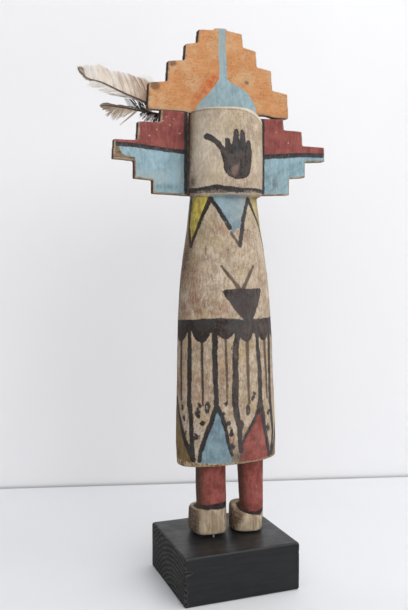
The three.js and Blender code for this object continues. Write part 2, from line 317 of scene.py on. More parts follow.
# A place on the robe or the mask is (degrees round it, height), 0 degrees in front. A stroke is its
# width, or its widths at the two ends, and then its places.
robePaint = {
    # five points hang round the neck; two of them and part of a third are in front
    "shoulder": 314,  # above the neck's edge, under the mask
    "yellowLeft": [(-90, 311), (-88, 296.5), (-86.7, 285.5), (-81.3, 278.1), (-75.9, 270.2)],
    "yellowRight": [(-45.5, 307.5), (-53.3, 298.8), (-61.7, 289.7), (-66.8, 283), (-71.8, 276.9),
                    (-75.2, 270.2)],
    "blueLeft": [(-43.5, 307), (-31.5, 299.2), (-21, 292), (-10.2, 284.4)],
    "blueFoot": [(-6, 280.4), (-1, 280.8), (2, 283.6), (9, 284.6)],
    "blueRight": [(30.4, 307.4), (23.9, 299.7), (18.4, 292.4), (13.5, 283), (10.5, 276.8), (8.9, 270.7)],
    "paleLeft": [(31.5, 307), (39.6, 301.1), (47.1, 295.5), (55.8, 290), (61.9, 284.3), (70, 270)],
    "neckThin": [((1.9, 2.5), (-8.4, 281.2), (-7.3, 280.1), (0.8, 275.2), (8.9, 270.7))],
    "backTips": [(70, 268), (138, 272), (222, 269)],
    "backTops": [(31.5, 307), (102, 307), (176, 307.5), (268, 307.5)],
    # scallops of the waist band: left turn, right turn, lowest height, height of its horns
    "scallops": [
        (-98, -73.5, 195.9, 202), (-66.4, -41.1, 196.2, 205.6), (-33.7, -8.3, 199, 203.9),
        (0.8, 25.3, 196.2, 203.8), (35.4, 54.6, 196.3, 201.8), (62, 81, 196.8, 203), (87, 109, 196, 203),
        (115, 134, 197, 204), (140, 157.5, 196, 203.5), (163, 182, 197, 203), (188, 207, 196, 204),
        (213, 235, 196.6, 203), (241, 259, 196, 203),
    ],
    "bandTop": [(-180, 213.6), (-95, 212.4), (-66.7, 213.6), (-46.2, 214.9), (-24.6, 215.1), (0.6, 214.5),
                (6.9, 213.4), (38.9, 213.9), (68.3, 214.4), (180, 213.6)],
    "bandFoot": 203.0,  # between the scallops
    "kiltLines": [
        ((4.0, 4.4), (-69.6, 206), (-69.4, 196.4), (-68.9, 184.1), (-68.9, 171.7), (-68.9, 155.1),
         (-68.7, 146.8)),
        ((4.4, 3.4), (-68.7, 148), (-66.2, 134.6), (-65.7, 126.3), (-65.3, 113.7), (-63.8, 103.6)),
        ((4.5, 4.0), (-37.4, 208), (-36.5, 202.8), (-36.4, 184.8), (-35.9, 168.5), (-34.7, 152.1),
         (-34.8, 144)),
        ((4.6, 5.4), (-2, 208), (-2.1, 200.8), (-3.9, 196.7), (-6.4, 184.5), (-6.6, 168.1), (-7.3, 155.7)),
        ((5.5, 4.0), (-7.3, 156), (-7.5, 149.1), (-5.5, 139.1), (-0.9, 128.9), (-0.8, 118), (0.9, 110)),
        ((2.8, 4.8), (31.2, 208), (31.8, 204.1), (32.4, 195.8), (33.1, 187.4), (35.3, 170.6), (35.5, 153.8),
         (34.2, 147)),
        ((4.6, 4.4), (58.6, 208), (58.4, 199.6), (57.1, 186.1), (55.7, 169.2), (55.4, 147.8), (57.7, 134.6)),
        ((4.4, 3.0), (57.7, 136), (60.5, 121.4), (57.5, 113), (55, 103)),
        ((4.6, 7.0), (33.9, 150), (34.5, 147.9), (34.2, 141)),
        # round the hem's points: blue, red, the left olive one
        ((3.6, 3.6), (-35, 147), (-35.8, 145.5), (-41.2, 134.7), (-46.5, 126.3), (-51.1, 117.9), (-55, 110.2),
         (-57, 103)),
        ((4.0, 2.6), (-34.6, 147), (-33.2, 145), (-26.8, 138), (-22.6, 128.7), (-20.2, 121.2), (-17.3, 113.6),
         (-12.9, 107.4)),
        ((3.4, 2.2), (31.5, 142.5), (23.8, 134.3), (17.3, 128.8), (9.3, 122.5), (4.4, 117.7)),
        ((4.6, 3.4), (37, 144), (38.6, 139), (41.5, 127.8), (46.1, 116.2), (50.3, 107), (52, 102.4)),
        ((3.0, 5.2), (-92, 150), (-88.6, 142.2), (-81.4, 130.4), (-74.9, 118.6), (-68.6, 110),
         (-64.2, 103.6)),
        ((3.0, 3.0), (-94, 150), (-103, 128), (-116, 103)),
    ],
    "kiltThin": [
        ((2.8, 2.4), (-83.4, 197), (-82.8, 170.7), (-81.3, 150)),
        ((2.0, 1.5), (-52.6, 197), (-52.6, 184.7), (-52, 172.4), (-51.7, 160.1), (-51.4, 147)),
        ((2.1, 1.6), (-21.1, 200), (-20.5, 188.8), (-20, 176.5), (-19.6, 164.2), (-19.8, 151)),
        ((3.1, 2.2), (13.9, 197), (14.1, 184), (14.4, 171.6), (14.8, 159.1), (15.8, 147.5)),
        ((3.0, 2.2), (46.4, 197), (46.9, 182.5), (47.9, 169.8), (48.2, 157), (48.6, 150)),
    ],
    "backStripes": [84, 112, 137, 160, 185, 210, 238],
    "backThinStripes": [71, 98, 125, 149, 172, 197, 224, 252],
    "backHemTips": [(76, 134), (136, 142), (198, 141)],
    "backHemFeet": [(57.5, 97), (113, 158), (176, 222)],
    # turn, height, width and height of each blot
    "blots": [
        (-55.8, 147.4, 3, 5.4), (-57.7, 140.5, 4.2, 9), (-52.1, 133.3, 4.6, 4.8), (-59.1, 122.1, 5, 6.4),
        (-21.4, 148.6, 4.2, 4.6), (-24.6, 140.4, 3.2, 3), (-18.7, 133.2, 4, 5.2), (-14.2, 125.6, 4.6, 7.4),
        (-12.8, 114.3, 4.8, 6.4), (21.9, 151.7, 4.4, 5.4), (24.8, 154.4, 3, 4.4), (3.6, 131.6, 3.4, 6.6),
        (50.9, 138, 3.6, 6), (48.9, 125.3, 3.8, 7.4), (-78.9, 144.2, 3.4, 5.6), (-75.9, 135.3, 3, 4.6),
        (-73.4, 124.7, 2.6, 4.6), (-11.9, 191, 1.6, 2.6), (-16.6, 129.3, 2.6, 3),
    ],
    # two hollow leaves: width, height, place, the line's depth inside the edge and half its width
    "leaves": [(3.6, 9.6, (-46.3, 145.4), 0.55, 0.75), (3.4, 7.6, (13.3, 142), 0.4, 0.7)],
    "flower": [(-25.8, 235.7), (-22, 236.9), (5.2, 237.5), (43.6, 237.9), (45.9, 236.3), (41.9, 230.1),
               (34.5, 221.7), (26.8, 213.5), (9.9, 213.2), (3.3, 216.9), (-8.1, 223.1), (-17.5, 229.3),
               (-23.6, 233.5)],
    "stalks": [((1.9, 3.8), (-26, 255.1), (-15.1, 248.3), (1.7, 239.1), (4, 236.5)),
               ((1.9, 3.8), (33.4, 255.1), (23.2, 247.4), (12.7, 239), (11, 236.5))],
    # coloured points standing on the hem, without their two feet
    "blueHem": [(-55, 110.2), (-51.1, 117.9), (-46.5, 126.3), (-41.2, 134.7), (-35.5, 145), (-33.4, 145),
                (-26.8, 138), (-22.6, 128.7), (-20.2, 121.2), (-17.3, 113.6), (-12.9, 108.3)],
    "redHem": [(0.9, 112), (4.4, 117.7), (9.3, 122.5), (17.3, 128.8), (23.8, 134.3), (31, 141), (37.5, 141),
               (41.5, 127.8), (46.1, 116.2), (50.3, 107)],
    "oliveHem": [(-103, 128), (-93, 149), (-88.6, 142.2), (-81.4, 130.4), (-74.9, 118.6), (-68.6, 110)],
    "scratches": [
        (0.9, (20.3, 283.5), (33.5, 282.1), (48.9, 280.8)), (1.0, (-50.8, 271.1), (-50.3, 263.5)),
        (1.2, (-14.2, 268), (-14.5, 262)), (1.2, (3.2, 255.1), (3.9, 252.8)), (0.9, (112, 262), (118, 236)),
        (0.9, (-152, 292), (-149, 268)),
    ],
}


def neckWork():
    p, shoulder = robePaint, robePaint["shoulder"]
    sides = [
        ((3.4, 3.2), *p["yellowLeft"]), ((3.2, 2.8), *p["yellowRight"]), ((3.2, 3.4), *p["blueLeft"]),
        ((3.7, 3.0), *p["blueRight"]), ((3.2, 2.6), *p["paleLeft"]),
    ]
    yellow = filled(robe, (-89, shoulder), *p["yellowLeft"], *p["yellowRight"][::-1], (-43, shoulder))
    blue = filled(robe, (-46, shoulder), *p["blueLeft"], *p["blueFoot"], *p["blueRight"][3::-1],
                  (32, shoulder))
    pale = filled(robe, (32, shoulder), *p["paleLeft"], (102, 307), (102, shoulder))
    behind = []
    tops, tips = p["backTops"], p["backTips"]
    for i, tip in enumerate(tips):
        if i > 0:
            sides.append((3, tops[i], tip))
        sides.append((3, tip, tops[i + 1]))
        behind.append(filled(robe, (tops[i][0], shoulder), tops[i], tip, tops[i + 1],
                             (tops[i + 1][0], shoulder)))
    thin = brushLines(robe, p["neckThin"])
    return brushLines(robe, sides), thin, yellow, together(blue, behind[2]), pale, behind[1]


def waistWork():
    # a black band, cut below into scallops with pale horns between them
    start = robePaint["scallops"][0][0]
    turn = (robe[0] - start) % 360 + start
    low = np.full(len(height), robePaint["bandFoot"])
    for left, right, bottom, horn in robePaint["scallops"]:
        share = (turn - left) / (right - left)
        bow = np.sin(np.pi * np.clip(share, 0, 1)) ** 0.62
        low = np.where((share >= 0) & (share <= 1), horn - (horn - bottom) * bow, low)
    top = np.interp(robe[0], *zip(*robePaint["bandTop"]))
    return np.minimum(height - low, top - height)


def kiltWork():
    lines, thin, blots = (list(robePaint[name]) for name in ("kiltLines", "kiltThin", "blots"))
    for i, turn in enumerate(robePaint["backStripes"]):
        lines.append(((3.8, 4.6), (turn, 206), (turn + 1, 174), (turn, 146)))
        blots += [
            (turn + 6, 147 - 3 * (i % 3), 3.4, 6), (turn - 8, 139 - 4 * (i % 2), 4, 5),
            (turn + 9, 131 - 3 * (i % 4), 3.6, 5.6),
        ]
    for (turn, top), feet in zip(robePaint["backHemTips"], robePaint["backHemFeet"]):
        for foot in feet:
            lines.append(((3.4, 2.8), (turn, top), (turn * 0.45 + foot * 0.55, top * 0.45 + 56), (foot, 103)))
    for turn in robePaint["backThinStripes"]:
        thin.append(((2.3, 1.6), (turn, 198), (turn - 0.6, 172), (turn, 149)))
    marks = [blot(robe, *spot) for spot in blots]
    for leafWidth, leafHeight, place, depth, half in robePaint["leaves"]:
        marks.append(half - np.abs(dab(robe, leafWidth, leafHeight, place) - depth))
    return together(brushLines(robe, lines), *marks), brushLines(robe, thin)


def hemWork(name, left, right, backPoint):
    # a coloured point in front, and one of the back's points in the same colour
    foot = figure["robePaintFoot"]
    front = filled(robe, (left, foot), *robePaint[name], (right, foot))
    tip, (backLeft, backRight) = robePaint["backHemTips"][backPoint], robePaint["backHemFeet"][backPoint]
    return together(front, filled(robe, (backLeft, foot), tip, (backRight, foot)))


maskPaint = {
    "thumb": ((4.5, 4.2), (-51.6, 353.9), (-45.2, 352.6), (-37.9, 350.3), (-31.6, 347.1), (-27.1, 343.6),
              (-24.6, 340)),
    "palm": [(-23.4, 345), (-26.8, 340.2), (-25.8, 336.1), (-25.4, 332), (-24.4, 327.6), (-20, 325.2),
             (-15.3, 323.1), (-9.1, 321.8), (-3.4, 320.9), (4, 321.4), (11.8, 322.9), (17, 325.9),
             (19.2, 330.5), (21.2, 337.5), (21.7, 344.4), (20.8, 347.5), (10.4, 345.5), (9.8, 347),
             (-0.6, 349), (-12.6, 347.4)],
    "fingers": [
        [(-23.4, 338), (-23.3, 348.4), (-23.1, 351.1), (-22, 352), (-16, 352), (-14.8, 350.8), (-13.7, 348.1),
         (-13.2, 338)],
        [(-12.8, 338), (-12.7, 348.1), (-11.8, 350.1), (-10.2, 355.3), (-9.1, 357.4), (-7, 359.5),
         (-3, 359.3), (-1.9, 357.5), (-1.2, 355.6), (-0.8, 338)],
        [(-0.6, 338), (0, 355.4), (1, 358.1), (2.9, 359.1), (5.2, 358.7), (8, 356.8), (9.6, 354.2),
         (10, 351.4), (9.9, 338)],
        [(10.3, 338), (10.5, 348.2), (12.7, 350.6), (15.9, 351.6), (19, 350.5), (20.8, 347.5), (21.7, 344.4),
         (21.6, 338)],
    ],
    # thicker paint where the fingers were drawn, and a rubbed place in the palm
    "fingerStrokes": [(1.3, (-17, 349), (-17, 341)), (1.3, (2, 336), (2, 329)),
                      (1.1, (-12.8, 349), (-12.4, 341)), (1.1, (-0.8, 354), (-0.4, 345)),
                      (1.2, (10.2, 348), (9.6, 337))],
    "fingerDabs": [(-8.1, 344.2), (4.2, 344.3)],
    "rubbedPalm": [(-13.3, 329.3), (-7.8, 331.7), (-1.4, 332.9), (-0.3, 328.8), (-2.8, 325.3), (-7.7, 322.8),
                   (-12.6, 324.5)],
    "bandTop": [(-180, 316.4), (-104, 316.8), (-72, 315.4), (-57, 315.8), (-46, 316.7), (-36, 317.1),
                (-25, 316.5), (-13, 315.8), (0, 315.1), (12, 315.0), (29, 315.0), (43, 315.2), (180, 315.6)],
    "bandFoot": [(-180, 312.8), (-108, 312.4), (-74, 311.5), (-47, 311.1), (-25, 311.0), (14, 311.5),
                 (44, 312.2), (180, 312.6)],
    "rubbedRim": [(-60, 1.7), (0, 2.7), (20, 3.0), (50, 3.4)],  # how far down the top's rim is rubbed, by turn
}


def handWork():
    shapes = [filled(mask, *shape) for shape in (maskPaint["palm"], *maskPaint["fingers"])]
    return together(brushLine(mask, *maskPaint["thumb"]), *shapes)


def maskBand():
    top, low = (np.interp(mask[0], *zip(*maskPaint[name])) for name in ("bandTop", "bandFoot"))
    return np.minimum(top - height, height - low)


def legWork():
    # red stockings, a dark band where each meets its foot
    nowhere = np.full(len(height), -1e3)
    stockings, bands = nowhere, nowhere
    for side, frontTop, backTop, deep in figure["ankles"]:
        mine = (dollPlaces[:, 0] - figure["betweenLegs"]) * side > 0
        leg = dollPlaces[mine & (np.abs(height - figure["calf"]) < 2)]
        middle = (leg.min(0) + leg.max(0)) / 2
        radius = (leg.max(0) - leg.min(0))[:2].mean() / 2
        away = dollPlaces - middle
        back = ramp(away[:, 1], -radius, radius)
        ankle = frontTop * (1 - back) + backTop * back
        uneven = 0.66 + 0.34 * np.cos(np.arctan2(away[:, 0], -away[:, 1]) - 0.5)
        close = np.minimum(radius + 1.6 - np.hypot(away[:, 0], away[:, 1]), hemEdge + 1 - height)
        close = np.where(mine, close, nowhere)
        stockings = np.maximum(stockings, np.minimum(height - ankle, close))
        band = np.minimum(height - ankle + 0.6, ankle + deep * uneven - height)
        bands = np.maximum(bands, np.minimum(band, close))
    return stockings, bands


outside = np.full(len(height), -20.0)


def keepOn(name, maskValues=outside, robeValues=outside, legValues=outside):
    keepValue(doll, name, np.where(onMask, maskValues, np.where(onRobe, robeValues, legValues)))


neckInk, neckThin, neckYellow, neckBlue, neckPale, neckRed = neckWork()
kiltInk, kiltThin = kiltWork()
hand, (stockings, ankleBands) = handWork(), legWork()
flower, stalks = filled(robe, *robePaint["flower"]), brushLines(robe, robePaint["stalks"])
topLine = wornTop - np.interp(mask[0], *zip(*maskPaint["rubbedRim"]))  # where the mask's rubbed rim ends
keepOn("ink", together(hand, maskBand()), together(neckInk, waistWork(), kiltInk, flower), ankleBands)
keepOn("sepia", robeValues=together(neckThin, kiltThin, stalks))
keepOn("cracks", 0.5 - np.abs(height - topLine), brushLines(robe, robePaint["scratches"]))
keepOn("rim", height - topLine)
keepOn("blue", robeValues=together(neckBlue, hemWork("blueHem", -57, -12, 1)))
keepOn("red", stockings, together(neckRed, hemWork("redHem", -3, 52, 2)), stockings)
keepOn("ochre", robeValues=together(neckYellow, neckPale))
keepOn("olive", robeValues=hemWork("oliveHem", -118, -65, 0))
keepOn("hem", robeValues=figure["robePaintFoot"] - height)
footPaint = np.minimum(-stockings, figure["footPaintTop"] - height)
keepValue(doll, "foot", np.where(height < figure["footTop"], footPaint, outside))

# Soft patches of dirt, wear, stain, painted shade and painted light, each (degrees round, height, half width,
# half height, strength).
dollStains = {
    # dirt with painted shade: darker down the mask's and robe's left edges, which turn from the light, and along
    # the mask's lower edge
    "maskSoilAndShade": [
        (-104, 345, 12, 60, 0.95), (-88, 347, 4, 8, 0.7), (-84, 320, 9, 7, 0.75), (-88, 362, 5, 9, 0.6),
        (-62, 371, 9, 4, 0.35), (26, 367, 6, 3, 0.4), (44, 358, 3, 9, 0.4), (-20, 309.5, 90, 1.6, 0.5),
        (-86, 309.5, 16, 3, 0.8), (-20, 361, 4, 3, 0.4), (-29, 355, 4, 3, 0.35), (32, 351, 3, 5, 0.35),
        (36, 339, 3, 4, 0.3), (110, 340, 30, 30, 0.3),
    ],
    "robeSoilAndShade": [
        (-110, 235, 14, 60, 1.0), (-106, 150, 13, 60, 0.8), (-88, 300, 6, 14, 0.75), (-76, 305, 6, 7, 0.4),
        (-80, 175, 7, 30, 0.35), (-50, 262, 8, 14, 0.25), (-12, 262, 9, 12, 0.25), (30, 279, 7, 5, 0.25),
        (-95, 106, 12, 6, 0.5), (150, 180, 40, 60, 0.3), (-20, 165, 60, 30, 0.16), (-88, 218, 10, 40, 0.55),
        (-85, 262, 13, 34, 0.78), (-84, 150, 9, 60, 0.3),
    ],
    # painted light: paler patches that lift the mask's shaded left side, the neck in the mask's shade and,
    # faintly, the chest
    "maskPaintedLight": [(-62, 345, 16, 40, 0.85), (-36, 345, 18, 40, 0.5), (20, 345, 30, 40, 0.2),
                    (33, 362, 4, 4, 0.65)],
    "robePaintedLight": [(2, 303, 26, 12, 0.45), (-14, 255, 26, 26, 0.11), (50, 255, 16, 34, 0.15)],
    "rust": [
        (-77.4, 220, 4.5, 7, 0.95), (-64.4, 231, 6, 11, 0.65), (-57.3, 220, 4, 5, 0.7),
        (-28, 221.5, 8, 6, 0.5), (-31, 285, 5, 3.5, 0.5), (-69, 250, 7, 10, 0.4), (-94, 246, 6, 14, 0.4),
        (47, 243, 5, 12, 0.35), (-84, 172, 4, 24, 0.7), (-60, 158, 5, 12, 0.35), (-13, 119, 3, 4, 0.8),
        (5, 127, 4, 5, 0.45), (24, 126, 3, 4, 0.2), (-24, 178, 6, 16, 0.2), (120, 235, 14, 14, 0.4),
    ],
    "smudge": [(-5, 105, 6, 6, 1.0), (3, 109, 5, 5, 0.8)],
    "faded": [(62, 300, 20, 16, 0.72), (80, 112, 12, 10, 0.5), (5, 281, 3, 3, 0.4), (32, 116, 10, 12, 0.09)],
    "rubbedInk": [(-5.2, 184.9, 1.2, 1.6, 0.9), (8, 206, 5, 3, 0.3), (46, 207, 6, 3, 0.3),
                  (-3, 168, 2, 9, 0.25)],
    "washedFlower": [(8, 225, 20, 14, 0.15)],
    # how thin the robe's black paint is, by turn: solid on the left, washed out to the right
    "washed": [(-180, 0.25), (-60, 0.0), (-30, 0.25), (0, 0.6), (50, 0.55), (180, 0.25)],
    "handWashed": 0.6, "bandWashed": 0.3,  # and on the mask, for the hand and the rest
    # painted shade on the feet and legs: darker on faces turned to the doll's right and behind, and between the
    # legs
    "legShade": {"side": 1.05, "behind": 0.3, "less": 0.12, "most": 0.8, "gap": (13, 0, 52),
                "gapSize": (5, 20, 7)},
}
onLegs = ~onMask & ~onRobe
washed = np.interp(robe[0], *zip(*dollStains["washed"]))
maskWashed = np.where(hand > -1, dollStains["handWashed"], dollStains["bandWashed"])
washed = np.where(onMask, maskWashed, washed) + patches(robe, *dollStains["washedFlower"])
handStrokes = together(
    brushLines(mask, maskPaint["fingerStrokes"]), dab(mask, 2.4, 2.6, *maskPaint["fingerDabs"]),
    hand * -1 + 0.6)
washed = np.where(onMask & (hand > 0), washed - 0.5 * np.clip(handStrokes + 0.6, 0, 1), washed)
keepValue(doll, "washed", np.where(onLegs, 0.1, np.clip(washed, 0, 1)))
rubbedPalm = np.clip(filled(mask, *maskPaint["rubbedPalm"]) / 1.6 + 0.4, 0, 1)
keepValue(doll, "rubbedInk", np.where(onMask, rubbedPalm, patches(robe, *dollStains["rubbedInk"])))
keepValue(doll, "faded", patches(robe, *dollStains["faded"]))
# painted shade on the legs and feet, by which way each face turns
dollNormals, legShade = normalsOf(doll), dollStains["legShade"]
inner = np.exp(-((dollPlaces - legShade["gap"]) / legShade["gapSize"]) ** 2).prod(1)
shaded = legShade["behind"] * dollNormals[:, 1] - legShade["side"] * dollNormals[:, 0] - legShade["less"] + inner
shaded = np.clip(shaded, 0, legShade["most"])
soilAndShade = np.where(onMask, patches(mask, *dollStains["maskSoilAndShade"]), patches(robe, *dollStains["robeSoilAndShade"]))
keepValue(doll, "soilAndShade", np.where(onLegs, shaded, 0) + soilAndShade)
# painted light, kept per vertex for the cream and the blue
paintedLight = np.where(onMask, patches(mask, *dollStains["maskPaintedLight"]),
                   patches(robe, *dollStains["robePaintedLight"]))
keepValue(doll, "paintedLight", paintedLight)
for name in ("rust", "smudge"):
    keepValue(doll, name, np.where(onRobe, patches(robe, *dollStains[name]), 0))
markEdges(doll, *figure["edgeMarks"])
print("doll carved and painted:", len(doll.data.polygons), "faces")


# the boards

boardCut = {"grain": 0.62, "waviness": (14, 0.35, 1), "dents": (3, 0.12, 2), "edgeMarks": (1, 7.0)}

headboard = {
    "strip": [(0.3, 452), (-0.2, 425), (1.0, 414), (0.6, 405), (-3, 400), (-8, 394), (-14, 388), (-20, 380.5),
              (-22, 372), (36, 372), (33.6, 381), (31, 389), (25, 396.5), (17.5, 400.8), (11, 403.4),
              (7.6, 406), (7, 419), (6.1, 433), (6.1, 452)],
    "smudge": [(-3.2, 406, 4, 3.6, 0.9), (-7, 401, 4.8, 4.2, 1.0), (-12, 395.6, 4.2, 4.6, 0.9),
               (-16.5, 390, 4, 5, 0.7), (-21, 384.5, 3.4, 4.4, 0.45), (-10, 403, 7, 6, 0.35)],
    "dulled": [(3.5, 430, 6, 24, 0.7), (7, 392, 30, 14, 0.2)],
    "knots": [(-53.3, 396.2, 7.8, 7.0), (-39.3, 414.4, 7.4, 4.4), (24.6, 404.3, 3.8, 3.2)],
    # how far the board's foot sags, by x, until it meets the left wing and all but rests on the mask
    "sag": [(-29, 1.1), (-24, 2.1), (22, 2.1), (29, 0), (44, 0), (50, 1.6)],
    "foot": (383, 379),  # it sags fully below the second height
}


def cutBoard(node, name):
    piece = roughBlank(node, name, boardCut["grain"])
    carve(piece, *boardCut["waviness"])
    carve(piece, *boardCut["dents"])
    normals = normalsOf(piece)
    keepValue(piece, "facing", neighbourMean(piece, -normals[:, 1], 1))
    # how far each face turns down, where the undersides are painted lighter as painted light
    keepValue(piece, "under", neighbourMean(piece, -normals[:, 2], 1))
    lower = np.maximum(np.maximum(-normals[:, 0], -normals[:, 2]), 0.5 * normals[:, 0])
    keepValue(piece, "lowEdge", neighbourMean(piece, lower, 6))
    markEdges(piece, *boardCut["edgeMarks"])
    return piece, flatOn(placesOf(piece))


upperBoard, upperFlat = cutBoard("upper_board", "tablita_top")
boardPlaces = placesOf(upperBoard)
sag = np.interp(boardPlaces[:, 0], *zip(*headboard["sag"]))
boardPlaces[:, 2] -= sag * ramp(boardPlaces[:, 2], *headboard["foot"])
moveTo(upperBoard, boardPlaces)
keepValue(upperBoard, "blue", filled(upperFlat, *headboard["strip"]))
for name in ("dulled", "smudge"):
    keepValue(upperBoard, name, patches(upperFlat, *headboard[name]))
keepValue(upperBoard, "knot", together(*[dab(upperFlat, w, h, (x, z)) for x, z, w, h in headboard["knots"]]))

wingPaint = {
    "left": {
        "node": "left_wing_board", "piece": "tablita_left_wing",
        "line": [(-90, 349.3), (-83.5, 349.2), (-70, 348.9), (-57.5, 347.8), (-45, 346.5), (-24, 345.4)],
        "width": 3.4,
        "upright": [(-27, 380), (-27.3, 308)], "uprightWidth": 4.6,
        "bare": [(-90, 348.5), (-82.2, 348.5), (-81.8, 344.6), (-80, 341.8), (-76, 340.4), (-69.5, 339.4),
                 (-69.5, 334), (-90, 334)],
        "maskSide": -27, "pressed": 0.1,  # the mask already swells towards this wing
        "soilAndShade": [(-30, 330, 4, 20, 0.35), (-45, 318, 20, 2, 0.4), (-60, 326, 3, 5, 0.3)],
        "pits": [(-44, 372.5), (-47, 369), (-41, 366), (-52, 362), (-38, 371), (-33, 360), (-58, 357)],
    },
    "right": {
        "node": "right_wing_board", "piece": "tablita_right_wing",
        "line": [(26, 344.4), (40, 345.2), (60, 347), (79, 348.8), (100, 349)], "width": 3.8,
        "upright": [(39.6, 378), (40, 308)], "uprightWidth": 2.8,
        "bare": [(110, 340), (112, 340), (111, 341)],
        "maskSide": 40, "pressed": 0.8,
        "soilAndShade": [(50, 322, 5, 9, 0.6), (44, 330, 3, 12, 0.45), (56, 334, 5, 5, 0.35), (66, 330, 3, 6, 0.4),
                 (80, 342, 12, 2.4, 0.4)],
        "pits": [(52, 366), (63, 358), (58, 371)],
    },
}
hollowEnd = {"axis": (2, 0), "reach": (32.2, 29.7)}  # the mask's axis, and how near it a wing is pressed
wings = []
for plan in wingPaint.values():
    piece, flat = cutBoard(plan["node"], plan["piece"])
    side = np.sign(plan["maskSide"])
    places = placesOf(piece)  # the hollow end is pressed up against the mask
    fromMask = np.hypot(*(places[:, :2] - hollowEnd["axis"]).T)
    places[:, 0] -= side * plan["pressed"] * ramp(fromMask, *hollowEnd["reach"])
    moveTo(piece, places)
    across = places[:, 0]
    divide = np.interp(across, *zip(*plan["line"]))
    keepValue(piece, "red", flat[1] - divide)
    keepValue(piece, "blue", np.minimum(divide - flat[1], -filled(flat, *plan["bare"])))
    lines = brushLines(flat, [(plan["width"], *plan["line"]), (plan["uprightWidth"], *plan["upright"])])
    shadeBehindMask = side * (plan["maskSide"] - across)  # painted shade: the wing is inked dark where it runs behind the mask, for the shaded gap between them
    keepValue(piece, "ink", together(lines, shadeBehindMask))
    keepValue(piece, "pits", dab(flat, 1.3, 1.2, *plan["pits"]))
    keepValue(piece, "soilAndShade", patches(flat, *plan["soilAndShade"]))
    wings.append((piece, plan["node"]))
print("boards cut and painted")


# the block

blockCut = {
    "grain": 1.0, "waviness": (30, 0.25, 2), "edgeMarks": (1, 4.0),
    # x, y, z, size, depth of each nick
    "nicks": [(-47.2, -43, 26.2, 1.5, 2.0), (-45, -43.2, 26.3, 1.3, 1.6), (-43, -43.2, 26.5, 1.2, 1.0),
              (-48, -42.6, 17.6, 1.7, 2.4), (-48, -42.8, 12.2, 1.9, 2.4), (-48, -42.6, 7.6, 1.6, 2.0),
              (-47.8, -42.9, 3.2, 1.8, 2.2), (-48, -43, 31, 1.4, 0.5), (-48, 20, 37.6, 1.6, 0.8),
              (-48, 31, 37.4, 1.8, 0.9), (-48, 5, 38, 2, 0.6), (-48, -18, 38, 1.6, 0.6),
              (48, -42.6, 30, 1.4, 0.4), (10, 43, 37.6, 1.8, 0.5)],
    "darkDepth": 1.6,  # a nick this deep is painted in shade all over
}
plinth = roughBlank("display_block", "black_plinth", blockCut["grain"])
carve(plinth, *blockCut["waviness"], keep=1.0)
plinthPlaces, plinthNormals = placesOf(plinth), normalsOf(plinth)
nicked = np.zeros(len(plinthPlaces))
for x, y, z, size, depth in blockCut["nicks"]:
    near = np.exp(-(((plinthPlaces - (x, y, z)) / (size, size, 0.6 * size)) ** 2).sum(1))
    plinthPlaces -= plinthNormals * (near * depth)[:, None]
    nicked = np.maximum(nicked, near * min(depth / blockCut["darkDepth"], 1))
keepValue(plinth, "nicked", nicked)
moveTo(plinth, plinthPlaces)
markEdges(plinth, *blockCut["edgeMarks"])
keepValue(plinth, "endGrain", np.abs(normalsOf(plinth)[:, 0]))
print("block cut")


# Feathers. Every place is (outward, up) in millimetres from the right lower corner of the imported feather's box.
# A vane's barbs start between two shares of the shaft's length and end along its outline.

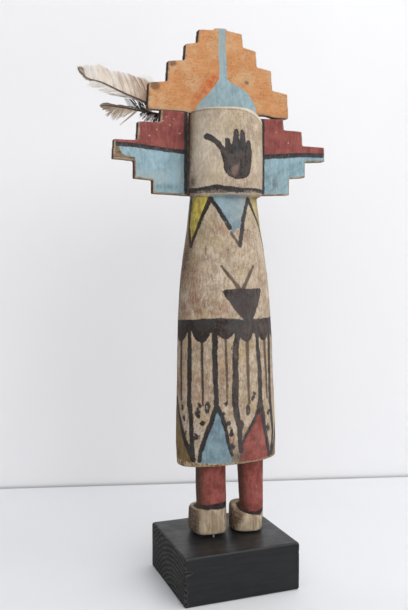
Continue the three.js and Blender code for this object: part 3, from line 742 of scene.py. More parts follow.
feathers = {
    "large": {
        "node": "large_feather", "piece": "long_feather", "seed": 11,
        "shaft": [(0, 1.5), (20, 5.5), (38, 11.3), (48.2, 15.6), (57.6, 18.7), (64.1, 20.8), (71.5, 23.6),
                  (77.9, 26.2), (82.9, 28), (87.4, 29), (92.4, 29.6), (96, 31.2), (99.5, 33.8), (101.6, 37)],
        "shaftRadius": (1.0, 0.3),
        "vanes": {
            "upper": {"from": (0.16, 0.845), "barbs": 330, "loose": 0.1, "width": 0.75, "bow": 0.1,
                      "outline": [(28, 27), (38, 31), (47, 33.4), (50.5, 34.4), (55, 34.8), (59.4, 36),
                                  (63, 37), (68.7, 38), (74.2, 37.6), (78, 38.4), (80, 40.1), (83, 41.2),
                                  (85.5, 42), (88.2, 41.2), (91.8, 40.4)],
                      "shade": [(0, 0.35), (0.3, 0.5), (0.4, 0.95), (0.47, 0.7), (0.55, 0.45), (0.7, 0.5),
                                (0.8, 0.35), (0.9, 0.12), (1, 0.05)],
                      "brown": 0.0},
            "tip": {"from": (0.83, 0.985), "barbs": 90, "loose": 0.12, "width": 0.7, "bow": 0.06,
                    "outline": [(91.5, 39.6), (95.9, 40.6), (98.1, 38.7), (100.3, 39.3), (101.7, 38.3)],
                    "shade": [(0, 0.0), (0.5, 0.1), (0.66, 0.7), (1, 1)], "brown": 0.75, "down": 0.3},
            "tipBelow": {"from": (0.86, 1.0), "barbs": 60, "loose": 0.1, "width": 0.6, "bow": 0.06,
                         "outline": [(92, 28), (94.6, 28.6), (97.9, 31), (100.6, 33.9), (102, 36.6)],
                         "shade": [(0, 0.6), (1, 1)], "brown": 0.9},
            "lower": {"from": (0.43, 0.85), "barbs": 170, "loose": 0.3, "width": 0.55, "bow": 0.05,
                      "outline": [(63, 20), (69.3, 19.5), (75.2, 19.1), (81.6, 20.6), (86.1, 21.3),
                                  (90.6, 22.6), (92.8, 24.8), (94.4, 28)],
                      "shade": [(0, 0.45), (0.4, 0.3), (0.7, 0.1), (1, 0)], "brown": 0.0, "down": 0.45},
            "wisps": {"from": (0.3, 0.43), "barbs": 22, "loose": 0.5, "width": 0.3, "bow": 0.08,
                      "outline": [(42, 34.6), (48, 36), (54, 35.4)], "shade": [(0, 0.2), (1, 0.2)],
                      "brown": 0.0},
        },
    },
    "small": {
        "node": "small_feather", "piece": "short_feather", "seed": 5,
        "shaft": [(0, 7.5), (20, 9.6), (40, 11.6), (52.4, 12.7), (60.9, 13.6), (67, 14.4), (74.9, 14.8),
                  (79.5, 15.1), (82.7, 15.1), (87, 14.8)],
        "shaftRadius": (0.95, 0.35),
        "vanes": {
            "upper": {"from": (0.6, 0.96), "barbs": 90, "loose": 0.06, "width": 0.8, "bow": 0.04,
                      "outline": [(62, 15.6), (65.6, 16.4), (70.2, 16.6), (75, 16.4), (79.5, 16.6),
                                  (82.7, 17.4), (86.4, 16.8), (88.4, 15.2)],
                      "shade": [(0, 0.9), (1, 0.7)], "brown": 0.95},
            "tipBelow": {"from": (0.84, 0.995), "barbs": 60, "loose": 0.12, "width": 0.75, "bow": 0.06,
                         "outline": [(80.4, 11.4), (81.4, 11.2), (83.2, 10.3), (85.5, 12), (87.3, 12.9),
                                     (88.4, 14.6)],
                         "shade": [(0, 0.5), (1, 0.8)], "brown": 0.8},
            "fan": {"from": (0.68, 0.9), "barbs": 74, "loose": 0.4, "width": 0.6, "bow": 0.07,
                    "outline": [(67.5, 9.6), (71.2, 7.4), (75, 4.2), (77, 3.4), (78.6, 5.3), (79.8, 8.4),
                                (83, 7.8)],
                    "shade": [(0, 0.3), (0.5, 0.4), (1, 0.6)], "brown": 0.2},
            "loneBarb": {"from": (0.655, 0.675), "barbs": 7, "loose": 0.05, "width": 0.6, "bow": 0.02,
                         "outline": [(72, 0.8), (72.8, 0.5)], "shade": [(0, 0.7), (1, 0.7)], "brown": 0.3},
            "downAbove": {"from": (0.52, 0.74), "barbs": 90, "loose": 0.35, "width": 0.65, "bow": 0.12,
                          "down": 1.0,
                          "outline": [(50.5, 18), (52, 20.4), (56, 21.4), (58, 22.2), (62.7, 21.8),
                                      (65, 22.6), (67.4, 22.8), (68, 21)],
                          "shade": [(0, 0.75), (0.6, 0.45), (0.8, 0.12), (1, 0.1)], "brown": 0.0},
            "downBelow": {"from": (0.4, 0.61), "barbs": 90, "loose": 0.3, "width": 0.65, "bow": 0.1,
                          "down": 1.0,
                          "outline": [(40.4, 9), (42.2, 4.6), (46.7, 3.4), (50, 3.8), (53.8, 4.2),
                                      (55.9, 7.2), (56.8, 10.2)],
                          "shade": [(0, 0.7), (0.5, 0.55), (1, 0.45)], "brown": 0.1},
        },
    },
}


def oneBarb():
    # a flat tapered strip one unit long, which every barb is copied from
    bpy.ops.mesh.primitive_grid_add(x_subdivisions=6, y_subdivisions=1, size=1, location=(0.5, 0, 0))
    barb = bpy.context.object
    bpy.ops.object.transform_apply(location=True)
    for vertex in barb.data.vertices:
        vertex.co.y *= 1 - 0.8 * vertex.co.x ** 1.8
    return barb


def along(points, share):
    # place on a line of points, by share of its length
    points = np.array(points, float)
    lengths = np.r_[0, np.cumsum(np.linalg.norm(np.diff(points, axis=0), axis=1))]
    at = np.clip(share, 0, 1) * lengths[-1]
    return np.array([np.interp(at, lengths, points[:, axis]) for axis in range(points.shape[1])])


def featherShaft(plan, corner, depth):
    curve = bpy.data.curves.new(plan["piece"] + "_shaft", "CURVE")
    curve.dimensions, curve.bevel_depth, curve.bevel_resolution = "3D", millimetre, 3
    curve.use_fill_caps = True
    spline = curve.splines.new("NURBS")
    spline.points.add(len(plan["shaft"]) - 1)
    thick, thin = plan["shaftRadius"]
    for i, (point, (outward, up)) in enumerate(zip(spline.points, plan["shaft"])):
        point.co = ((corner[0] - outward) * millimetre, depth * millimetre, (corner[2] + up) * millimetre, 1)
        point.radius = thick + (thin - thick) * i / (len(plan["shaft"]) - 1)
    spline.use_endpoint_u, spline.order_u, spline.resolution_u = True, 3, 6
    shaft = bpy.data.objects.new(curve.name, curve)
    bpy.context.scene.collection.objects.link(shaft)
    pickOnly(shaft)
    bpy.ops.object.convert(target="MESH")
    shaft = bpy.context.object
    for name, value in (("tone", 0.0), ("brown", 0.0), ("down", 0.0), ("tip", 0.0), ("quill", 1.0)):
        keepValue(shaft, name, np.full(len(shaft.data.vertices), value))
    return shaft


# A pair of numbers is a spread's own part and what it gains with "loose"; distances are in millimetres.
barbHabit = {
    "lock": (4, 14), "lockStray": (2.6, 2.2),  # barbs cling together in locks of this many, which stray this far
    "slip": (0.012, 0.03), "short": (0.02, 0.2),  # along the outline, and short of it
    "lift": (0.3, 0.4), "liftMiddle": -0.2, "twist": 0.6, "sunk": 0.15,
    "width": (0.75, 1.15),
    "lockTone": 0.5, "barbTone": 0.08,
}


def growVane(plan, vane, barb, strip, chance, box):
    low, high, depth = box
    grown, left, clump, shade = [], 0, np.zeros(2), 0.5
    loose, habit = vane["loose"], barbHabit
    slip, short, lifted = (habit[name][0] + habit[name][1] * loose for name in ("slip", "short", "lift"))
    for i in range(vane["barbs"]):
        if left <= 0:
            left, shade = chance.randint(*habit["lock"]), chance.random()
            clump = np.array([chance.gauss(0, stray) for stray in habit["lockStray"]]) * loose
        left -= 1
        share = i / (vane["barbs"] - 1)
        start = vane["from"][0] + (vane["from"][1] - vane["from"][0]) * share
        root = along(plan["shaft"], start)
        ahead = along(plan["shaft"], start + 0.02) - along(plan["shaft"], start - 0.02)
        end = along(vane["outline"], share + chance.gauss(0, slip)) + clump
        end += (end - root) * min(0.0, chance.gauss(0.0, short))
        chord = end - root
        side = np.array([-chord[1], chord[0]])
        side *= -np.sign(side @ ahead) * vane["bow"]
        bend = (root + end) / 2 + side
        t = strip[:, :1]
        line = (1 - t) ** 2 * root + 2 * t * (1 - t) * bend + t ** 2 * end
        heading = 2 * (1 - t) * (bend - root) + 2 * t * (end - bend)
        heading /= np.linalg.norm(heading, axis=1)[:, None] + 1e-9
        width = strip[:, 1:2] * vane["width"] * chance.uniform(*habit["width"])
        line = line + np.stack([-heading[:, 1], heading[:, 0]], 1) * width
        places = np.empty((len(strip), 3))
        places[:, 0], places[:, 2] = high[0] - line[:, 0], low[2] + line[:, 1]
        places[:, 1] = depth + strip[:, 0] ** 1.5 * chance.gauss(habit["liftMiddle"], lifted)
        twist, sunk = (chance.uniform(-habit[name], habit[name]) for name in ("twist", "sunk"))
        places[:, 1] += strip[:, 1] * twist + sunk
        copy = bpy.data.objects.new("barb", barb.data.copy())
        bpy.context.scene.collection.objects.link(copy)
        moveTo(copy, np.clip(places, low, high))
        shading = np.interp(share, *zip(*vane["shade"]))
        tone = shading + (shade - 0.5) * habit["lockTone"] + chance.gauss(0, habit["barbTone"])
        down = vane.get("down", 0.0)  # one for the black and white down, less for a greyed vane
        for name, value in (("tone", shade if down == 1 else tone), ("brown", vane["brown"] * shading),
                            ("down", down), ("quill", 0.0)):
            keepValue(copy, name, np.full(len(strip), value))
        keepValue(copy, "tip", strip[:, 0])
        grown.append(copy)
    return grown


def makeFeather(plan, barb):
    chance = random.Random(plan["seed"])
    low, high = (np.array(corner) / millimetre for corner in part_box(plan["node"]))
    depth = (low[1] + high[1]) / 2
    shaft = featherShaft(plan, (high[0], 0, low[2]), depth)
    strip = np.array([v.co for v in barb.data.vertices])
    barbs = []
    for vane in plan["vanes"].values():
        barbs += growVane(plan, vane, barb, strip, chance, (low, high, depth))
    pickOnly(shaft)
    for part in barbs:
        part.select_set(True)
    bpy.ops.object.join()
    shaft.name = plan["piece"]
    bpy.ops.object.shade_smooth()
    return shaft


bpy.ops.object.select_all(action="DESELECT")
barb = oneBarb()
plumes = {name: makeFeather(plan, barb) for name, plan in feathers.items()}
bpy.data.objects.remove(barb)
print("feathers made:", [len(plume.data.polygons) for plume in plumes.values()])


# node helpers

class Wiring:
    # short ways to put down and join the few nodes that every finish here is made of
    def __init__(self, tree):
        self.tree = tree

    def put(self, kind, wires=None, **settings):
        node = self.tree.nodes.new("ShaderNode" + kind)
        for name, value in settings.items():
            setattr(node, name, value)
        return self.wire(node, wires or {})

    def wire(self, node, wires):
        # each input gets a link or a plain value
        for name, value in wires.items():
            if isinstance(value, bpy.types.NodeSocket):
                self.tree.links.new(value, node.inputs[name])
            else:
                node.inputs[name].default_value = value
        return node

    def mark(self, name):
        return self.put("Attribute", attribute_name=name).outputs["Fac"]

    def noise(self, vector, scale, detail=4.0, roughness=0.55, distortion=0.0):
        return self.put("TexNoise", {"Vector": vector, "Scale": scale, "Detail": detail,
                                     "Roughness": roughness, "Distortion": distortion}).outputs["Fac"]

    def stretch(self, vector, x=1, y=1, z=1, move=(0, 0, 0), turn=(0, 0, 0)):
        return self.put("Mapping", {"Vector": vector, "Scale": (x, y, z), "Location": move,
                                    "Rotation": turn}).outputs["Vector"]

    def step(self, value, low, high, toLow=0.0, toHigh=1.0):
        return self.put("MapRange", {"Value": value, "From Min": low, "From Max": high, "To Min": toLow,
                                     "To Max": toHigh}, interpolation_type="SMOOTHSTEP").outputs["Result"]

    def sum(self, operation, first, second=0.0, clamp=False):
        return self.put("Math", {0: first, 1: second}, operation=operation, use_clamp=clamp).outputs[0]

    def add(self, *values):
        total = values[0]
        for value in values[1:]:
            total = self.sum("ADD", total, value)
        return total

    def times(self, *values):
        total = values[0]
        for value in values[1:]:
            total = self.sum("MULTIPLY", total, value)
        return total

    def less(self, value, share=1.0):
        # one minus a share of the value
        return self.sum("SUBTRACT", 1.0, self.times(value, share), clamp=True)

    def mix(self, factor, first, second, mode="MIX"):
        return self.put("Mix", {0: factor, 6: colour(first), 7: colour(second)}, data_type="RGBA",
                        blend_type=mode, clamp_factor=True).outputs[2]

    def layers(self, base, *coats):
        # each coat is its share and its colour, laid over what is there
        for share, tone in coats:
            base = self.mix(share, base, tone)
        return base


def colour(value):
    # three 0..255 screen values become the colour a node wants
    if isinstance(value, bpy.types.NodeSocket):
        return value
    linear = [(c / 255 / 12.92) if c <= 10 else ((c / 255 + 0.055) / 1.055) ** 2.4 for c in value]
    return (*linear, 1.0)


def nodeGroup(name, inputs, outputs, fill):
    group = bpy.data.node_groups.new(name, "ShaderNodeTree")
    kinds = {"value": "NodeSocketFloat", "colour": "NodeSocketColor", "vector": "NodeSocketVector"}
    for label, (kind, default) in inputs.items():
        socket = group.interface.new_socket(label, in_out="INPUT", socket_type=kinds[kind])
        if default is not None:
            socket.default_value = default
    for label, kind in outputs.items():
        group.interface.new_socket(label, in_out="OUTPUT", socket_type=kinds[kind])
    wiring = Wiring(group)
    entry, leave = group.nodes.new("NodeGroupInput"), group.nodes.new("NodeGroupOutput")
    for label, socket in fill(wiring, entry.outputs).items():
        group.links.new(socket, leave.inputs[label])
    return group


def useGroup(wiring, group, wires):
    node = wiring.tree.nodes.new("ShaderNodeGroup")
    node.node_tree = group
    return wiring.wire(node, wires).outputs


# how far inside a brushed shape -> how much paint covers; its border wanders and breaks up
def brushedFill(w, i):
    wander = w.sum("SUBTRACT", w.noise(i["Vector"], 170, 2, 0.5), 0.5)
    broken = w.sum("SUBTRACT", w.noise(w.stretch(i["Vector"], 1, 1, 0.45), 1300, 3, 0.6), 0.5)
    inside = w.add(i["Distance"], w.times(wander, i["Wander"]), w.times(broken, i["Broken"]))
    cover = w.put("MapRange", {"Value": inside, "From Min": w.times(i["Soft"], -1.0), "From Max": i["Soft"]},
                  interpolation_type="SMOOTHSTEP")
    return {"Cover": cover.outputs["Result"]}


brushed = nodeGroup("brushedEdge", {"Vector": ("vector", None), "Distance": ("value", 0.0),
                                    "Wander": ("value", 1.2), "Broken": ("value", 1.0),
                                    "Soft": ("value", 0.35)},
                    {"Cover": "value"}, brushedFill)


# streaks and pores that run along Z of the vector it is given
def grainFill(w, i):
    fine = w.noise(w.stretch(i["Vector"], 1, 1, 0.08), i["Fine Scale"], 3, 0.6)
    broad = w.noise(w.stretch(i["Vector"], 1, 1, 0.12), i["Broad Scale"], 4, 0.6, 0.3)
    pores = w.step(w.noise(w.stretch(i["Vector"], 1, 1, 0.25), 2400, 2, 0.5), 0.6, 0.72)
    return {"Streak": w.step(broad, 0.34, 0.66), "Fibre": w.step(fine, 0.3, 0.7), "Pore": pores}


woodGrain = nodeGroup("woodGrain", {"Vector": ("vector", None), "Fine Scale": ("value", 900.0),
                                    "Broad Scale": ("value", 260.0)},
                      {"Streak": "value", "Fibre": "value", "Pore": "value"}, grainFill)


# close mottling: light and dark flecks a millimetre or two across, with darker specks among them
def mottleFill(w, i):
    flecks = w.noise(w.stretch(i["Vector"], 1, 1, 0.36), i["Scale"], 5, 0.68)
    clouds = w.noise(i["Vector"], w.times(i["Scale"], 0.16), 4, 0.6)
    both = w.add(w.times(flecks, 0.7), w.times(clouds, 0.3))
    dots = w.noise(w.stretch(i["Vector"], 1, 1, 0.7, (0.4, 0.1, 0)), w.times(i["Scale"], 2.2), 2, 0.5)
    specks = w.times(w.step(dots, 0.54, 0.66), w.step(clouds, 0.35, 0.65, 0.35, 1.0))
    return {"Fleck": w.step(both, 0.41, 0.59), "Speck": specks, "Cloud": clouds}


mottle = nodeGroup("mottle", {"Vector": ("vector", None), "Scale": ("value", 480.0)},
                   {"Fleck": "value", "Speck": "value", "Cloud": "value"}, mottleFill)


# patchy loss of paint: more on corners, and in flakes elsewhere
def wearFill(w, i):
    patch = w.noise(i["Vector"], 95, 5, 0.65)
    flake = w.noise(w.stretch(i["Vector"], 1, 1, 0.5), 620, 4, 0.7)
    loss = w.add(w.times(patch, 0.5), w.times(flake, 0.5), w.times(i["Edge"], i["Edge Wear"]),
                 w.sum("SUBTRACT", i["Amount"], 0.5))
    chips = w.step(w.noise(i["Vector"], 1100, 1, 0.4), 0.7, 0.74)
    worn = w.sum("MAXIMUM", w.step(loss, 0.56, 0.66), w.times(chips, i["Chips"]), clamp=True)
    return {"Worn": worn, "Scuff": w.step(loss, 0.4, 0.62)}


paintWear = nodeGroup("paintWear", {"Vector": ("vector", None), "Edge": ("value", 0.0),
                                    "Edge Wear": ("value", 1.0), "Amount": ("value", 0.5),
                                    "Chips": ("value", 0.3)},
                      {"Worn": "value", "Scuff": "value"}, wearFill)


# two shades of one paint, brushed out unevenly
def coatFill(w, i):
    cloud = w.noise(i["Vector"], i["Scale"], 5, 0.66)
    stroke = w.noise(w.stretch(i["Vector"], 1, 1, 0.22), 520, 3, 0.6)
    share = w.step(w.add(w.times(cloud, 0.6), w.times(stroke, 0.4), w.sum("SUBTRACT", i["Lean"], 0.5)),
                   0.36, 0.64)
    return {"Colour": w.mix(share, i["Light"], i["Dark"])}


unevenCoat = nodeGroup("unevenCoat", {"Vector": ("vector", None), "Light": ("colour", None),
                                      "Dark": ("colour", None), "Scale": ("value", 120.0),
                                      "Lean": ("value", 0.5)},
                       {"Colour": "colour"}, coatFill)


# fine pale scratches in two directions across the face of a board
def scratchFill(w, i):
    lines = []
    for tilt, offset in ((0.5, 0.2), (-0.9, 0.7)):
        turned = w.stretch(i["Vector"], 1, 1, 1, (offset, 0, 0), (0, tilt, 0))
        line = w.noise(w.stretch(turned, 1, 1, 0.04), 420, 2, 0.5)
        lines.append(w.times(w.step(line, 0.62, 0.66),
                             w.step(w.noise(turned, 40 + 30 * offset, 2), 0.5, 0.6)))
    return {"Line": w.sum("MAXIMUM", lines[0], lines[1])}


scratched = nodeGroup("scratches", {"Vector": ("vector", None)}, {"Line": "value"}, scratchFill)


# old dirt and painted shade: a brown film in the hollows, which stands for their shade as well, and in patches;
# fine dark specks all over
def grimeAndShadeFill(w, i):
    film = w.step(w.noise(i["Vector"], 60, 5, 0.7), 0.42, 0.75)
    specks = w.step(w.noise(i["Vector"], 1500, 2, 0.5), 0.64, 0.74)
    dirtAndShade = w.sum("ADD", w.times(film, 0.35), w.times(i["Hollow Dirt And Shade"], 1.6), clamp=True)
    amount = w.sum("MULTIPLY", w.sum("MAXIMUM", dirtAndShade, w.times(specks, 0.55)), i["Amount"], clamp=True)
    return {"Colour": w.mix(amount, i["Colour"], i["Dirt And Shade"], "MULTIPLY")}


grimeAndShade = nodeGroup("grimeAndShade", {"Vector": ("vector", None), "Colour": ("colour", None), "Dirt And Shade": ("colour", None),
                            "Hollow Dirt And Shade": ("value", 0.0), "Amount": ("value", 0.6)},
                  {"Colour": "colour"}, grimeAndShadeFill)


def newFinish(name):
    material = bpy.data.materials.new(name)
    material.use_nodes = True
    wiring = Wiring(material.node_tree)
    shader = material.node_tree.nodes["Principled BSDF"]
    vector = wiring.put("TexCoord").outputs["Object"]
    return material, wiring, shader, vector


def joinTo(wiring, shader, **sockets):
    names = {"base": "Base Color", "rough": "Roughness", "normal": "Normal"}
    for name, socket in sockets.items():
        wiring.tree.links.new(socket, shader.inputs[names[name]])


def bump(wiring, height, distance, strength=0.6):
    wires = {"Height": height, "Distance": distance * millimetre, "Strength": strength}
    return wiring.put("Bump", wires).outputs["Normal"]


def painted(w, vector, name, wander=1.2, broken=1.0, soft=0.35):
    # cover of the paint whose distances are kept under this name
    wires = {"Vector": vector, "Distance": w.mark(name), "Wander": wander, "Broken": broken, "Soft": soft}
    return useGroup(w, brushed, wires)["Cover"]


def coatOf(w, vector, light, dark, scale=120.0, lean=0.5):
    wires = {"Vector": vector, "Light": colour(light), "Dark": colour(dark), "Scale": scale, "Lean": lean}
    return useGroup(w, unevenCoat, wires)["Colour"]


def drift(w, vector, scale, low, high, most, detail=4, roughness=0.6, move=None):
    # soft patches between two levels of a noise, up to this share
    if move:
        vector = w.stretch(vector, move=move)
    return w.step(w.noise(vector, scale, detail, roughness), low, high, 0, most)


# finishes

dollColours = {
    "cream": (211, 194, 172), "creamDark": (164, 143, 120), "creamPale": (222, 209, 193),
    "warm": (202, 170, 138), "yellowed": (192, 172, 128), "paintedLight": (240, 226, 206),
    "rubbedRim": (228, 216, 196), "speck": (100, 78, 60), "rust": (138, 84, 56), "soilAndShade": (84, 64, 50),
    "film": (132, 108, 88), "crack": (98, 76, 60), "ink": (25, 21, 23), "inkThin": (80, 73, 72),
    "inkBare": (138, 112, 100), "inkBlue": (50, 56, 60), "inkPurple": (56, 40, 46), "sepia": (52, 42, 40),
    "sepiaThin": (98, 82, 72), "blue": (140, 162, 171), "blueDark": (112, 136, 146),
    "bluePaintedLight": (180, 208, 218), "red": (163, 92, 84), "redDark": (128, 64, 58), "ochre": (228, 208, 102),
    "ochreDark": (166, 146, 70), "olive": (142, 118, 78), "oliveDark": (108, 88, 56),
    "footCream": (222, 206, 178), "footDark": (128, 101, 76), "smudge": (86, 76, 68),
    "hemPale": (190, 164, 128), "hemDark": (104, 80, 58),
}


def creamGround(w, vector, grain, spots):
    # bare cream ground: mottled, faintly streaked, warmer and yellower in places, and paler as painted light
    # where the mask's left side and the neck lie in shade; the feet are darker wood
    c = dollColours
    cream = w.layers(
        w.mix(spots["Fleck"], c["cream"], c["creamDark"]),
        (w.times(grain["Streak"], 0.42), c["creamDark"]),
        (drift(w, vector, 38, 0.5, 0.66, 0.4, 3), c["warm"]),
        (drift(w, vector, 42, 0.5, 0.64, 0.45, 3, move=(0.2, 0.5, 0.1)), c["yellowed"]),
        (drift(w, vector, 55, 0.54, 0.7, 0.5, move=(0.7, 0, 0.3)), c["creamPale"]),
        (w.times(spots["Speck"], 0.65), c["speck"]),
        (w.times(grain["Pore"], 0.3), c["speck"]),
    )
    stain = w.step(w.noise(w.stretch(vector, 1, 1, 0.3, (0.3, 0.2, 0)), 130, 4, 0.65), 0.4, 0.6)
    streaks = w.add(w.times(grain["Fibre"], 0.25), w.times(stain, 0.42), w.times(grain["Streak"], 0.24))
    rusty = w.step(w.add(w.times(grain["Fibre"], 0.5), w.times(spots["Fleck"], 0.5)), 0.1, 0.8, 0.4, 1)
    return w.layers(
        cream,
        (w.step(w.mark("foot"), -0.5, 0.5), w.mix(streaks, c["footCream"], c["footDark"])),
        (w.mark("paintedLight"), w.mix(w.times(spots["Fleck"], 0.7), c["paintedLight"], c["cream"])),
        (w.times(w.mark("rust"), rusty), c["rust"]),
    )


def dollFinish():
    c = dollColours
    material, w, shader, vector = newFinish("painted_cottonwood")
    grain = useGroup(w, woodGrain, {"Vector": vector})
    spots = useGroup(w, mottle, {"Vector": vector, "Scale": 640.0})
    edge, hollowDirtAndShade = w.mark("edge"), w.mark("hollowDirtAndShade")
    worn = useGroup(w, paintWear, {"Vector": vector, "Edge": edge, "Amount": 0.43, "Edge Wear": 1.2,
                                   "Chips": 0.25})
    surface = creamGround(w, vector, grain, spots)
    for name, loss in (("blue", 0.8), ("ochre", 0.8), ("olive", 0.6), ("red", 0.5)):
        paint = coatOf(w, vector, c[name], c[name + "Dark"])
        if name == "blue":
            # painted light: the blue is paler where it lies in the mask's shade
            paint = w.mix(w.mark("paintedLight"), paint, c["bluePaintedLight"])
        cover = w.times(painted(w, vector, name, 1.1), w.less(worn["Worn"], loss), w.less(w.mark("faded")))
        surface = w.mix(cover, surface, paint)
    rubbedOut = w.step(spots["Fleck"], 0, 1, 0.95, 0.6)
    surface = w.mix(w.times(w.mark("smudge"), rubbedOut), surface, c["smudge"])
    # thin brown lines, then the black ones, which turn blue, purple or bare in patches
    washed = w.mark("washed")
    sepia = coatOf(w, vector, c["sepia"], c["sepiaThin"], 160.0, w.step(washed, 0, 0.8, 0.36, 0.72))
    surface = w.mix(w.times(painted(w, vector, "sepia", 1.3, 1.4, 0.5), 0.92), surface, sepia)
    black = w.layers(
        coatOf(w, vector, c["ink"], c["inkThin"], 210.0, w.step(washed, 0, 1, 0.34, 0.66)),
        (w.times(w.mark("rubbedInk"), rubbedOut), c["inkBare"]),
        (drift(w, vector, 62, 0.45, 0.6, 0.55), c["inkBlue"]),
        (drift(w, vector, 70, 0.5, 0.64, 0.5, move=(0.3, 0.3, 0)), c["inkPurple"]),
        (drift(w, vector, 1900, 0.64, 0.72, 0.5, 2, 0.5), c["creamDark"]),
        (drift(w, vector, 850, 0.56, 0.68, 0.16, 4, 0.65, (0.1, 0.6, 0.2)), c["inkBare"]),
    )
    inked = w.times(painted(w, vector, "ink", 2.0, 1.8), w.less(worn["Worn"], 0.4))
    # the bare hem, the rubbed rim of the mask and every corner show pale ground
    hem = w.times(painted(w, vector, "hem", 2.0, 2.6, 0.5), w.step(spots["Cloud"], 0.3, 0.6, 0.5, 0.95))
    rim = w.times(painted(w, vector, "rim", 0.9, 0.8, 0.4), 0.9)
    crack = painted(w, vector, "cracks", 0.7, 1.2, 0.5)
    # brown soil and painted shade, thickest on the doll's right side, in specks and a film
    soilAndShade = w.mark("soilAndShade")
    stipple = w.step(w.add(w.times(w.noise(vector, 700, 4, 0.7), 0.8), w.times(soilAndShade, 0.35)), 0.5, 0.72)
    surface = w.layers(
        surface,
        (w.times(inked, 0.97), black),
        (hem, w.mix(w.step(spots["Fleck"], 0.2, 0.9), c["hemPale"], c["hemDark"])),
        (rim, w.mix(spots["Fleck"], c["rubbedRim"], c["cream"])),
        (w.step(w.add(edge, w.times(w.noise(vector, 300, 3), 0.25)), 0.34, 0.6, 0, 0.8), c["creamPale"]),
        (w.times(crack, 0.5), c["crack"]),
        (w.sum("ADD", w.times(stipple, soilAndShade, 0.75), w.times(soilAndShade, 0.4), clamp=True), c["soilAndShade"]),
    )
    withDirtAndShade = useGroup(w, grimeAndShade, {"Vector": vector, "Colour": surface, "Dirt And Shade": colour(c["film"]),
                                "Hollow Dirt And Shade": hollowDirtAndShade, "Amount": 0.66})
    relief = w.add(w.times(grain["Streak"], -0.35), w.times(spots["Speck"], -0.6),
                   w.times(w.noise(vector, 800, 4, 0.6), 0.8), w.times(inked, 0.25), w.times(crack, -0.8))
    joinTo(w, shader, base=withDirtAndShade["Colour"], rough=w.sum("SUBTRACT", 0.9, w.times(inked, 0.16)),
           normal=bump(w, relief, 0.35))
    shader.inputs["Specular IOR Level"].default_value = 0.3
    return material


boardColours = {
    "orange": (214, 159, 111), "orangeDark": (198, 136, 86), "orangePale": (217, 175, 132),
    "smudge": (194, 88, 38), "blue": (161, 190, 200), "blueDark": (130, 158, 168),
    "bluePale": (190, 208, 212), "blueDulled": (160, 170, 167), "red": (160, 92, 82),
    "redDark": (124, 64, 64), "ink": (50, 47, 50), "inkThin": (84, 82, 86), "knot": (112, 84, 68),
    "speck": (120, 84, 58), "bare": (112, 82, 58), "bareDark": (62, 42, 30), "bareFront": (146, 124, 98),
    "bareFrontDark": (104, 84, 64), "under": (166, 144, 114), "cream": (212, 190, 158), "rim": (128, 108, 86),
    "rimPale": (178, 164, 140), "soilAndShade": (74, 84, 92), "film": (140, 112, 88),
}


def orangePaint(w, vector, turned, spots):
    c = boardColours
    smudge = w.times(w.mark("smudge"), w.step(w.noise(vector, 260, 4, 0.6), 0.3, 0.6, 0.5, 1))
    return w.layers(
        coatOf(w, turned, c["orange"], c["orangeDark"], 85.0),
        (drift(w, vector, 60, 0.46, 0.6, 0.85, 5, 0.68), c["orangePale"]),
        (w.times(spots["Fleck"], 0.32), c["orangeDark"]),
        (w.times(spots["Speck"], 0.5), c["speck"]),
        (w.times(smudge, 0.95), c["smudge"]),
        (w.times(painted(w, vector, "knot", 2.0, 1.2, 1.0), 0.8),
         w.mix(spots["Fleck"], c["knot"], c["speck"])),
    )


def redPaint(w, vector, spots):
    c = boardColours
    return w.layers(
        w.mix(spots["Fleck"], c["bareFront"], c["bareFrontDark"]),
        (painted(w, vector, "red", 1.0), coatOf(w, vector, c["red"], c["redDark"], 90.0)),
        (w.times(painted(w, vector, "pits", 0.5), 0.6), c["cream"]),
    )


def bluePaint(w, vector, spots):
    c = boardColours
    return w.layers(
        coatOf(w, vector, c["blue"], c["blueDark"]),
        (drift(w, vector, 60, 0.5, 0.68, 0.6), c["bluePale"]),
        (w.times(spots["Speck"], 0.3), c["blueDark"]),
    )


